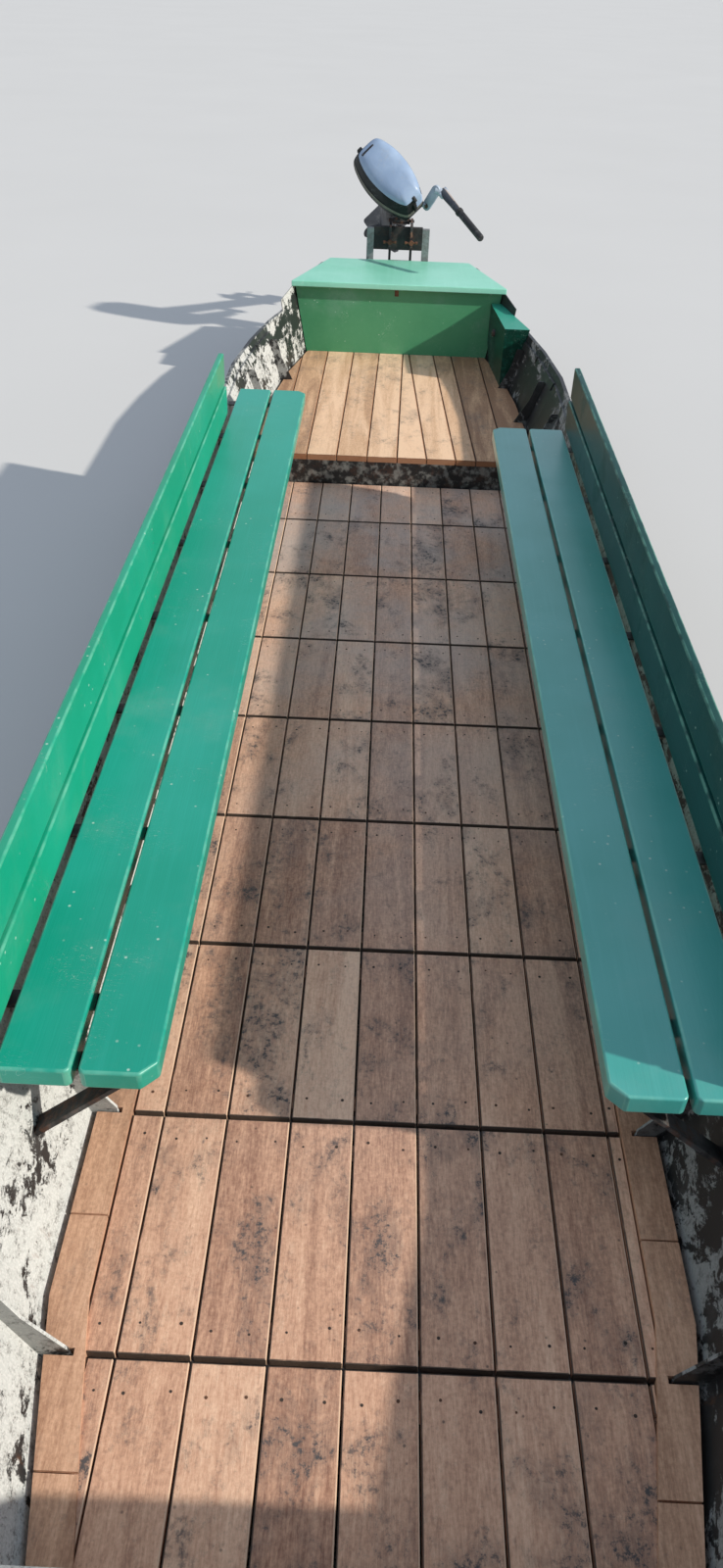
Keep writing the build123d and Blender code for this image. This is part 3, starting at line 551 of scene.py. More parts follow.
@dataclass
class Shell:
    """Corners and faces gathered for one piece, with a tone and a finish for each face."""

    points: list[Point] = field(default_factory=list)
    faces: list[list[int]] = field(default_factory=list)
    tones: list[float] = field(default_factory=list)
    edges: list[float] = field(default_factory=list)
    slots: list[int] = field(default_factory=list)

    def take(self, part: bmesh.types.BMesh, tone: float = 0.5, slot: int = 0,
             eased: set[int] | None = None) -> None:
        """Add a finished part and free it.

        Args:
            part: the part's mesh.
            tone: the tone stored on its faces.
            slot: the index of its finish.
            eased: indices of the faces that ease an edge.
        """
        base = len(self.points)
        part.verts.index_update()
        part.faces.index_update()
        self.points += [tuple(vert.co) for vert in part.verts]
        for piece in part.faces:
            self.faces.append([base + vert.index for vert in piece.verts])
            self.tones.append(tone)
            self.edges.append(1.0 if eased and piece.index in eased else 0.0)
            self.slots.append(slot)
        part.free()

    def prism(self, outline: list[Flat], low: float, high: float, ease: float, steps: int = 2,
              tone: float = 0.5, under: bool = False) -> None:
        """Add an upright prism with eased upper edges.

        Args:
            outline: the plan, counter-clockwise.
            low: the height of its foot.
            high: the height of its top.
            ease: the width of the rounding.
            steps: segments of the rounding.
            tone: the tone of its faces.
            under: whether the lower edges are eased too.
        """
        part = bmesh.new()
        feet = [part.verts.new((x, y, low)) for x, y in outline]
        tops = [part.verts.new((x, y, high)) for x, y in outline]
        part.faces.new(list(reversed(feet)))
        part.faces.new(tops)
        count = len(outline)
        for index in range(count):
            after = (index + 1) % count
            part.faces.new((feet[index], feet[after], tops[after], tops[index]))
        chosen = [edge for edge in part.edges
                  if under or max(vert.co.z for vert in edge.verts) > high - TOUCH]
        made = bmesh.ops.bevel(part, geom=chosen, offset=ease, segments=steps, profile=0.5,
                               affect="EDGES", clamp_overlap=True)
        part.faces.index_update()
        self.take(part, tone, eased={piece.index for piece in made["faces"]})

    def box(self, low: Point, high: Point, ease: float, steps: int) -> None:
        """Add a box with every edge eased."""
        (x0, y0, z0), (x1, y1, z1) = low, high
        self.prism([(x0, y0), (x1, y0), (x1, y1), (x0, y1)], z0, z1, ease, steps, under=True)

    def tube(self, start: Point, end: Point, radius: float, tip: float | None = None, sides: int = 20,
             slot: int = 0) -> None:
        """Add a round bar, tapered to a tip radius where one is given."""
        way = Vector(end) - Vector(start)
        part = bmesh.new()
        bmesh.ops.create_cone(part, cap_ends=True, segments=sides, radius1=radius,
                              radius2=radius if tip is None else tip, depth=way.length)
        turn = way.to_track_quat("Z", "Y").to_matrix().to_4x4()
        middle = (Vector(start) + Vector(end)) / 2
        bmesh.ops.transform(part, matrix=Matrix.Translation(middle) @ turn, verts=part.verts)
        self.take(part, slot=slot)

    def rings(self, rows: list[list[Point]], slots: list[int] | None = None) -> None:
        """Add a skin through closed rings of the same number of points, closed at both ends.

        Args:
            rows: the rings in order.
            slots: a finish for each band between rings; the first one where none is given.
        """
        part = bmesh.new()
        loops = [[part.verts.new(point) for point in row] for row in rows]
        slots = slots or [0] * (len(rows) - 1)
        count = len(rows[0])
        marks: list[int] = []
        for slot, low, high in zip(slots, loops, loops[1:]):
            for index in range(count):
                after = (index + 1) % count
                part.faces.new((low[index], low[after], high[after], high[index]))
                marks.append(slot)
        part.faces.new(list(reversed(loops[0])))
        part.faces.new(loops[-1])
        first = len(self.slots)
        self.take(part)
        self.slots[first:] = marks + [slots[0], slots[-1]]

    def piece(self, name: str, finishes: list[bpy.types.Material], sharp: float = 38.0,
              move: Matrix | None = None) -> bpy.types.Object:
        """Make the object.

        Args:
            name: the object's name.
            finishes: its materials, by slot index.
            sharp: the angle in degrees past which an edge stays sharp.
            move: a matrix that takes the mesh to its place.

        Returns:
            The new object, in the scene.
        """
        mesh = bpy.data.meshes.new(name)
        mesh.from_pydata(self.points, [], self.faces)
        for finish in finishes:
            mesh.materials.append(finish)
        mesh.polygons.foreach_set("material_index", self.slots)
        for label, values in (("tone", self.tones), ("edge", self.edges)):
            mesh.attributes.new(label, "FLOAT", "FACE").data.foreach_set("value", values)
        if move is not None:
            mesh.transform(move)
        mesh.update()
        mesh.shade_smooth()
        mesh.set_sharp_from_angle(angle=math.radians(sharp))
        thing = bpy.data.objects.new(name, mesh)
        bpy.context.scene.collection.objects.link(thing)
        LOG.info("%s: %d faces", name, len(mesh.polygons))
        return thing


def weigh_normals(thing: bpy.types.Object) -> None:
    """Keep broad faces flat beside their rounded edges."""
    thing.modifiers.new("flat faces", "WEIGHTED_NORMAL").keep_sharp = True


def settle(thing: bpy.types.Object, body: Body = Body.HULL, node: str = "") -> None:
    """Let a new piece ride on its body, and hide the node it stands for.

    Args:
        thing: the piece.
        body: the body it rides on.
        node: the node it replaces, if any.
    """
    if node:
        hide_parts(node)
    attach(thing, body.value)


def smooth_ring(points: list[Flat], steps: int) -> list[Flat]:
    """A closed smooth curve through points.

    Args:
        points: the points that it passes.
        steps: samples between two points.

    Returns:
        The samples, in order.
    """
    count = len(points)
    samples: list[Flat] = []
    for index in range(count):
        before, start, end, after = (Vector(points[(index + k - 1) % count]) for k in range(4))
        for step in range(steps):
            t = step / steps
            square = 2 * before - 5 * start + 4 * end - after
            cube = 3 * start - before - 3 * end + after
            value = 0.5 * (2 * start + (end - before) * t + square * t ** 2 + cube * t ** 3)
            samples.append((value.x, value.y))
    return samples


def clip(outline: list[Flat], fence: list[Flat]) -> list[Flat]:
    """The part of an outline inside a convex fence.

    Args:
        outline: the outline's corners.
        fence: the fence's corners, counter-clockwise.

    Returns:
        The corners that are left.
    """
    left = outline
    for (ax, ay), (bx, by) in zip(fence, fence[1:] + fence[:1]):

        def side(point: Flat) -> float:
            """How far a point lies inside this stretch of the fence."""
            return (bx - ax) * (point[1] - ay) - (by - ay) * (point[0] - ax)

        kept: list[Flat] = []
        for start, end in zip(left, left[1:] + left[:1]):
            low, high = side(start), side(end)
            if low >= 0:
                kept.append(start)
            if low * high < 0:
                t = low / (low - high)
                kept.append((start[0] + t * (end[0] - start[0]), start[1] + t * (end[1] - start[1])))
        left = kept
        if len(left) < 3:
            return []
    return left


def corners(node: str) -> tuple[Vector, Vector]:
    """Lowest and highest corner of a node of the frame."""
    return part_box(node)


# Light, camera and the floor at the waterline


@dataclass
class Studio:
    """Plain pale floor at the waterline, soft light, and the camera above the foredeck."""

    eye: Point = (-0.0495, -2.878, 2.101)
    pitch: float = 38.0
    yaw: float = -0.44
    roll: float = 2.25
    lens: float = 24.95
    sensor: float = 36.0
    waterline: float = 0.13
    reach: float = 160.0
    sky: Colour = (0.74, 0.84, 1.0)
    sky_strength: float = 0.60
    key_from: Point = (1.0, -0.317, 0.596)
    key_strength: float = 4.0
    key_width: float = 1.4
    key_tint: Colour = (1.0, 0.93, 0.83)
    floor_tints: tuple[Colour, Colour] = ((0.60, 0.60, 0.59), (0.64, 0.64, 0.63))
    # Outline of the hull at the waterline, inside the plates' thickness: half width, place
    hull_plan: tuple[Flat, ...] = ((0.3715, -3.200), (0.4929, -2.6), (0.6159, -1.9), (0.6159, 2.3),
                                   (0.6007, 2.7), (0.5713, 3.05), (0.5042, 3.42), (0.4640, 3.590))

    def camera(self) -> None:
        """Set the camera as the photograph was taken."""
        pitch, yaw, roll = (math.radians(v) for v in (self.pitch, self.yaw, self.roll))
        ahead = Vector((math.sin(yaw), math.cos(yaw), 0))
        right = Vector((math.cos(yaw), -math.sin(yaw), 0))
        up = Vector((0, 0, 1))
        look = ahead * math.cos(pitch) - up * math.sin(pitch)
        top = ahead * math.sin(pitch) + up * math.cos(pitch)
        side = right * math.cos(roll) + top * math.sin(roll)
        crown = top * math.cos(roll) - right * math.sin(roll)
        turn = Matrix((side, crown, -look)).transposed().to_4x4()
        data = bpy.data.cameras.new("camera")
        data.lens = self.lens
        data.sensor_width = self.sensor
        thing = bpy.data.objects.new("camera", data)
        thing.matrix_world = Matrix.Translation(self.eye) @ turn
        bpy.context.scene.collection.objects.link(thing)
        bpy.context.scene.camera = thing

    def lights(self) -> None:
        """A soft sky and one key from the port bow."""
        world = bpy.data.worlds.new("sky")
        world.use_nodes = True
        back = world.node_tree.nodes["Background"]
        back.inputs["Color"].default_value = (*self.sky, 1.0)
        back.inputs["Strength"].default_value = self.sky_strength
        bpy.context.scene.world = world
        data = bpy.data.lights.new("key", "SUN")
        data.energy, data.color, data.angle = self.key_strength, self.key_tint, math.radians(self.key_width)
        thing = bpy.data.objects.new("key", data)
        thing.rotation_euler = Vector(self.key_from).to_track_quat("Z", "Y").to_euler()
        bpy.context.scene.collection.objects.link(thing)

    def floor(self) -> None:
        """A wide floor with a hole where the hull passes the waterline."""
        plan = list(self.hull_plan)
        hole = plan + [(-x, y) for x, y in reversed(plan) if x > 0]
        part = bmesh.new()
        inner = [part.verts.new((x, y, self.waterline)) for x, y in hole]
        outer = []
        for x, y in hole:
            away = Vector((x, y, 0)).normalized() * self.reach
            outer.append(part.verts.new((away.x, away.y, self.waterline)))
        for index in range(len(hole)):
            after = (index + 1) % len(hole)
            part.faces.new((inner[index], outer[index], outer[after], inner[after]))
        bmesh.ops.recalc_face_normals(part, faces=part.faces)
        shell = Shell()
        shell.take(part)
        g = Graph("studio floor", roughness=0.85)
        tint = g.noise(g.place(), 0.6, 3)
        g.shade(base_color=g.mix(tint, *self.floor_tints))
        shell.piece("studio_floor", [g.material])

    def build(self) -> None:
        """Camera, lights and floor, seen with a plain view transform."""
        bpy.context.scene.view_settings.view_transform = "Standard"
        self.camera()
        self.lights()
        self.floor()


# Benches


@dataclass
class Benches:
    """Plank seats and back rests on both sides, with rounded edges."""

    finishes: Finishes
    inner_plank: Flat = (0.400, 0.540)
    outer_plank: Flat = (0.553, 0.690)
    corner_cut: float = 0.030
    small_cut: float = 0.008
    round_over: float = 0.0065
    back_round: float = 0.0052
    back_gap: Flat = (0.632, 0.640)
    proud: float = 0.006

    def seat(self, side: str, sign: int) -> None:
        """Two seat planks of one side."""
        low, high = corners(f"bench_seat_{side}")
        shell = Shell()
        cut = self.small_cut
        y0, y1 = low.y, high.y
        for (x0, x1), nip in ((self.inner_plank, self.corner_cut), (self.outer_plank, cut)):
            outline = [(x0 + nip, y0), (x1 - cut, y0), (x1, y0 + cut), (x1, y1 - cut),
                       (x1 - cut, y1), (x0 + nip, y1), (x0, y1 - nip), (x0, y0 + nip)]
            if sign < 0:
                outline = [(-x, y) for x, y in reversed(outline)]
            shell.prism(outline, low.z, high.z, self.round_over, 3, under=True)
        # On the port side this is the port green, which carries painted sky reflection
        self.finish(shell, f"seat_planks_{side}", f"bench_seat_{side}", f"{side} green")

    def back(self, side: str, sign: int) -> None:
        """Lower and upper board of one side's back rest."""
        low, high = corners(f"bench_back_{side}")
        shell = Shell()
        face, rear = sorted((abs(low.x), abs(high.x)))
        rows = ((low.z, self.back_gap[0], face), (self.back_gap[1], high.z, face + self.proud))
        for z0, z1, front in rows:
            x0, x1 = sorted((sign * front, sign * rear))
            shell.box((x0, low.y, z0), (x1, high.y, z1), self.back_round, 3)
        # The port back's paint is a near-black copy of the port green: painted shade
        self.finish(shell, f"back_boards_{side}", f"bench_back_{side}", f"{side} back green")

    def finish(self, shell: Shell, name: str, node: str, paint: str) -> None:
        """Dress a piece and let it stand for its node."""
        thing = shell.piece(name, [self.finishes[paint]])
        weigh_normals(thing)
        settle(thing, node=node)

    def build(self) -> None:
        """Both sides."""
        for side, sign in (("port", 1), ("starboard", -1)):
            self.seat(side, sign)
            self.back(side, sign)


# Floor and decks


@dataclass
class Floor:
    """Lift-out floor panels of boards side by side, with their battens and nails."""

    finishes: Finishes
    pitch: float = 0.1346
    seam: float = 0.0865
    least_board: float = 0.008
    gap: float = 0.0036
    board: float = 0.020
    count: int = 9
    ease: float = 0.0026
    # Battens under a panel: inset of the fore edges from the panel's ends, width, inset at the sides, easing
    battens: Flat = (0.036, 0.078)
    batten_wide: float = 0.042
    batten_side: float = 0.020
    batten_ease: float = 0.002
    # Edge of the space between the margin planks: place and half width, both ends of the narrowing
    narrow_end: Flat = (-2.6, 0.3875)
    wide_end: Flat = (-1.9, 0.517)
    widening: float = 0.1230
    lead: float = 0.0245
    fence_places: Flat = (-2.06, -1.9)
    # Nails: insets from a board's end and sides, and what strays at random
    nail_inset: float = 0.052
    nail_side: float = 0.030
    nail_radius: float = 0.0029
    nail_sides: int = 10
    nail_span: Flat = (-0.002, 0.0006)
    one_nail_below: float = 0.07
    stray: Flat = (0.006, 0.009)
    nail_sizes: Flat = (0.75, 1.2)
    chance: random.Random = field(default_factory=lambda: random.Random(7))

    def seams(self, half: float) -> list[float]:
        """Places of the seams across a panel, its own edges included."""
        inner = [self.seam + self.pitch * k for k in range(-5, 5)]
        return [-half] + [x for x in inner if abs(x) < half - self.least_board] + [half]

    def build(self) -> None:
        """Every panel, and one piece of nails."""
        nails = Shell()
        for number in range(1, self.count + 1):
            node = f"floor_panel_{number}"
            low, high = corners(node)
            shell = Shell()
            cuts = self.seams(high.x)
            for x0, x1 in zip(cuts, cuts[1:]):
                left = x0 + (self.gap / 2 if x0 > -high.x else 0)
                right = x1 - (self.gap / 2 if x1 < high.x else 0)
                fence = self.fence(low, high)
                outline = clip([(left, low.y), (right, low.y), (right, high.y), (left, high.y)], fence)
                if not outline:
                    continue
                shell.prism(outline, high.z - self.board, high.z, self.ease, 2, self.chance.random())
                self.fasten(nails, outline, high.z)
            half = min(-low.x, high.x) - self.batten_side
            for y in (low.y + self.battens[0], high.y - self.battens[1]):
                foot, head = (-half, y, low.z), (half, y + self.batten_wide, high.z - self.board)
                shell.box(foot, head, self.batten_ease, 1)
            thing = shell.piece(f"boards_{number}", [self.finishes["floor hardwood"]])
            weigh_normals(thing)
            settle(thing, node=node)
        settle(nails.piece("floor_nails", [self.finishes["nail iron"]]))

    def fence(self, low: Vector, high: Vector) -> list[Flat]:
        """Plan of the space between the margin planks over one panel."""
        places = [low.y] + [y for y in self.fence_places if low.y < y < high.y] + [high.y]
        right = [(min(high.x, self.edge_at(y)), y) for y in places]
        return right + [(-x, y) for x, y in reversed(right)]

    def edge_at(self, y: float) -> float:
        """Half width of the floor beside the margin planks."""
        (start, narrow), (end, wide) = self.narrow_end, self.wide_end
        if y >= end:
            return wide
        share = (y - start) / (end - start)
        return min(wide, narrow + share * self.widening + self.lead)

    def fasten(self, nails: Shell, outline: list[Flat], top: float) -> None:
        """Two nails near each end of a board, or one where it is narrow."""
        xs = [x for x, _ in outline]
        ys = [y for _, y in outline]
        if max(xs) - min(xs) < self.one_nail_below:
            spots = [(min(xs) + max(xs)) / 2]
        else:
            spots = [min(xs) + self.nail_side, max(xs) - self.nail_side]
        across, along = self.stray
        foot, head = self.nail_span
        for y in (min(ys) + self.nail_inset, max(ys) - self.nail_inset):
            for x in spots:
                u = x + self.chance.uniform(-across, across)
                v = y + self.chance.uniform(-along, along)
                radius = self.nail_radius * self.chance.uniform(*self.nail_sizes)
                nails.tube((u, v, top + foot), (u, v, top + head), radius, sides=self.nail_sides)


@dataclass
class AftDeck:
    """Tapered boards of the raised deck, cut to the hull's plan."""

    finishes: Finishes
    front: float = 1.912
    rear: float = 3.460
    thick: float = 0.025
    gap: float = 0.0036
    ease: float = 0.0026
    # Seams: x at the front edge, x at the rear edge
    seams: tuple[Flat, ...] = ((-0.720, -0.720), (-0.528, -0.520), (-0.394, -0.383), (-0.258, -0.238),
                               (-0.120, -0.094), (0.016, 0.040), (0.150, 0.074), (0.282, 0.210),
                               (0.374, 0.310), (0.512, 0.462), (0.720, 0.720))
    # Plan of the deck's edge: place, half width
    plan: tuple[Flat, ...] = ((1.912, 0.6360), (2.300, 0.6360), (2.700, 0.6150), (3.050, 0.5790),
                              (3.420, 0.5065), (3.460, 0.4975))
    # Tone of each board, from starboard to port
    tones: tuple[float, ...] = (0.15, 0.40, 0.75, 0.60, 0.85, 0.95, 0.80, 0.45, 0.15, 0.05)
    # Notches round the knees: place, half width at their inner end
    notches: tuple[Flat, ...] = ((1.990, 0.5860), (2.440, 0.5780), (2.945, 0.5370))
    notch_half: float = 0.006
    # A corner this near to the plan's edge lies on it
    near: float = 0.0001
    # Battens: place of the fore edge, half length
    battens: tuple[Flat, ...] = ((1.924, 0.55), (2.052, 0.55), (2.746, 0.55), (3.300, 0.47))
    batten_wide: float = 0.045
    batten_ease: float = 0.002
    screw_rows: Flat = (1.947, 2.08)
    screw_shares: Flat = (0.25, 0.75)
    screw_radius: float = 0.0034
    screw_sides: int = 10
    screw_span: Flat = (-0.002, -0.0002)
    screws_within: float = 0.60

    def build(self) -> None:
        """The boards, their battens and the screws near the front edge."""
        low, high = corners("aft_deck")
        top = high.z
        right = [(min(half, high.x), y) for y, half in self.plan]
        fence = right + [(-x, y) for x, y in reversed(right)]
        shell, screws = Shell(), Shell()
        half_gap = self.gap / 2
        last = len(self.tones) - 1
        for number, ((fore0, aft0), (fore1, aft1)) in enumerate(zip(self.seams, self.seams[1:])):
            board = [(fore0 + half_gap, self.front), (fore1 - half_gap, self.front),
                     (aft1 - half_gap, self.rear), (aft0 + half_gap, self.rear)]
            outline = clip(board, fence)
            if number in (0, last):
                outline = self.notched(outline, 1 if number else -1)
            shell.prism(outline, top - self.thick, top, self.ease, 2, self.tones[number])
            for x in (fore0 + (fore1 - fore0) * share for share in self.screw_shares):
                if abs(x) < self.screws_within:
                    for y in self.screw_rows:
                        foot, head = ((x, y, top + height) for height in self.screw_span)
                        screws.tube(foot, head, self.screw_radius, sides=self.screw_sides)
        for y, half in self.battens:
            foot, head = (-half, y, low.z), (half, y + self.batten_wide, top - self.thick)
            shell.box(foot, head, self.batten_ease, 1)
        thing = shell.piece("deck_boards", [self.finishes["deck hardwood"]])
        weigh_normals(thing)
        settle(thing, node="aft_deck")
        settle(screws.piece("deck_screws", [self.finishes["screw steel"]]))

    def edge_at(self, y: float) -> float:
        """Half width of the deck at a place along it."""
        for (y0, half0), (y1, half1) in zip(self.plan, self.plan[1:]):
            if y <= y1:
                return half0 + (y - y0) / (y1 - y0) * (half1 - half0)
        return self.plan[-1][1]

    def notched(self, outline: list[Flat], sign: int) -> list[Flat]:
        """An outermost board's plan with its knee notches cut in.

        Args:
            outline: the board's corners, counter-clockwise.
            sign: 1 on port, -1 on starboard.

        Returns:
            The corners with the notches.
        """
        outer = [point for point in outline if point[0] * sign >= self.edge_at(point[1]) - self.near]
        inner = [point for point in outline if point not in outer]
        cuts: list[Flat] = []
        half = self.notch_half
        for y, depth in self.notches:
            cuts += [(sign * self.edge_at(y - half), y - half), (sign * depth, y - half),
                     (sign * depth, y + half), (sign * self.edge_at(y + half), y + half)]
        outer.sort(key=lambda point: point[1])
        merged: list[Flat] = []
        for point in outer:
            while cuts and cuts[0][1] < point[1]:
                merged += cuts[:4]
                cuts = cuts[4:]
            merged.append(point)
        inner.sort(key=lambda point: -point[1])
        ring = merged + inner
        return ring if sign > 0 else list(reversed(ring))


@dataclass
class HelmSeat:
    """The lid over the stern locker, with rounded edges."""

    finishes: Finishes
    front_half: float = 0.585
    rear_half: float = 0.405
    round_over: float = 0.005

    def build(self) -> None:
        """The lid."""
        low, high = corners("helm_seat_top")
        shell = Shell()
        outline = [(-self.front_half, low.y), (self.front_half, low.y), (self.rear_half, high.y),
                   (-self.rear_half, high.y)]
        shell.prism(outline, low.z, high.z, self.round_over, 3, under=True)
        thing = shell.piece("seat_lid", [self.finishes["seat lid green"]])
        weigh_normals(thing)
        settle(thing, node="helm_seat_top")


# Motor


@dataclass
class Motor:
    """Smooth cowl and its fittings, built upright in the motor's own frame and then tilted."""

    finishes: Finishes
    pivot: Point = (0.0, 4.068, 0.806)
    tilt: float = 58.0
    steer: float = 45.0
    offset: float = 0.072
    middle: Flat = (0.0, 0.115)
    # Half plans from the nose aft, at the rim and at the crown: half width, place
    rim_plan: tuple[Flat, ...] = (
        (0.026, -0.108), (0.056, -0.104), (0.073, -0.084), (0.0873, -0.060), (0.1110, 0.0), (0.1252, 0.060),
        (0.1300, 0.105), (0.1294, 0.160), (0.1205, 0.220), (0.1063, 0.270), (0.0922, 0.305),
        (0.0740, 0.327), (0.036, 0.337))
    crown_plan: tuple[Flat, ...] = (
        (0.026, -0.108), (0.056, -0.104), (0.073, -0.084), (0.0873, -0.060), (0.1110, 0.0), (0.1252, 0.060),
        (0.1300, 0.105), (0.1290, 0.160), (0.1190, 0.215), (0.1040, 0.262), (0.0890, 0.295),
        (0.0700, 0.316), (0.034, 0.325))
    # Rings of the cowl: height, inset, finish of the band that ends there
    levels: tuple[tuple[float, float, int], ...] = (
        (0.1505, 0.012, 0), (0.1505, 0.0015, 0), (0.1530, 0.0002, 2), (0.1780, 0.0038, 2),
        (0.1792, 0.0068, 0), (0.1840, 0.0078, 0), (0.2200, 0.0145, 0), (0.2600, 0.0228, 0),
        (0.2618, 0.0238, 0), (0.2640, 0.0262, 1), (0.2700, 0.0310, 1), (0.2780, 0.0400, 1),
        (0.2845, 0.0520, 1), (0.2895, 0.0680, 1), (0.2925, 0.0860, 1), (0.2938, 0.0980, 1))
    lean_heights: Flat = (0.155, 0.262)
    plan_steps: int = 4
    belt: Flat = (0.1265, 0.1498)
    belt_inset: float = 0.0013
    # The part of the nose wall painted pale as painted highlight on its key side: past this x, ahead of this
    # y, above this z
    sunlit_nose: Point = (0.012, -0.070, 0.178)
    # Latch and its lever at the nose, lip of the grip slot and block at the rear: two corners, easing
    blocks: tuple[tuple[Point, Point, float], ...] = (
        ((-0.012, -0.112, 0.176), (0.006, -0.092, 0.228), 0.005),
        ((-0.014, -0.120, 0.176), (0.002, -0.106, 0.214), 0.004),
        ((-0.060, 0.266, 0.262), (0.024, 0.277, 0.2885), 0.004),
        ((-0.052, 0.300, 0.222), (-0.022, 0.324, 0.252), 0.005))
    knob: tuple[Point, Point] = ((0.004, -0.098, 0.252), (0.004, -0.072, 0.268))
    knob_radius: float = 0.011

    @property
    def move(self) -> Matrix:
        """From the motor's upright frame to its place."""
        return (Matrix.Translation(self.pivot) @ Matrix.Rotation(math.radians(self.tilt), 4, "X")
                @ Matrix.Translation((0, self.offset, 0))
                @ Matrix.Rotation(math.radians(self.steer), 4, "Z"))

    def ring(self, height: float, inset: float) -> list[Point]:
        """The cowl's plan at a height, drawn in by an inset."""
        low, high = self.lean_heights
        share = min(1.0, max(0.0, (height - low) / (high - low)))
        half = [tuple(Vector(foot).lerp(Vector(top), share))
                for foot, top in zip(self.rim_plan, self.crown_plan)]
        plan = smooth_ring(half + [(-x, y) for x, y in reversed(half)], self.plan_steps)
        centre = Vector(self.middle)
        row: list[Point] = []
        for x, y in plan:
            out = Vector((x, y)) - centre
            spot = centre + out * (1 - inset / out.length)
            row.append((spot.x, spot.y, height))
        return row

    def cowl(self) -> None:
        """The top cover: a rim, dark leaning walls (partly painted shade) and a pale crowned top past a
        crisp crease, with the key side of the nose wall painted pale as painted highlight.
        """
        shell = Shell()
        rows = [self.ring(height, inset) for height, inset, _ in self.levels]
        shell.rings(rows, slots=[finish for _, _, finish in self.levels[1:]])
        # Painted highlight: nose faces on the key side take the pale top's finish
        past_x, ahead_y, above_z = self.sunlit_nose
        for index, face in enumerate(shell.faces):
            x, y, z = (sum(shell.points[corner][axis] for corner in face) / len(face) for axis in range(3))
            if x > past_x and y < ahead_y and z > above_z:
                shell.slots[index] = 1
        names = ("cowl wall", "cowl grey", "tray rim")
        thing = shell.piece("cowl_cover", [self.finishes[name] for name in names], sharp=16.0,
                            move=self.move)
        settle(thing, Body.MOTOR, "motor_cowl")

    def fittings(self) -> None:
        """Belt of the tray, latch and its knob, and the grip slot and block at the rear."""
        black = [self.finishes["tray black"]]
        shell = Shell()
        shell.rings([self.ring(height, self.belt_inset) for height in self.belt])
        settle(shell.piece("tray_belt", black, move=self.move), Body.MOTOR)
        shell = Shell()
        for low, high, ease in self.blocks:
            shell.box(low, high, ease, 3)
        shell.tube(*self.knob, self.knob_radius, sides=24)
        settle(shell.piece("cowl_latch", black, move=self.move), Body.MOTOR)

    def build(self) -> None:
        """All of the cowl's pieces."""
        self.cowl()
        self.fittings()


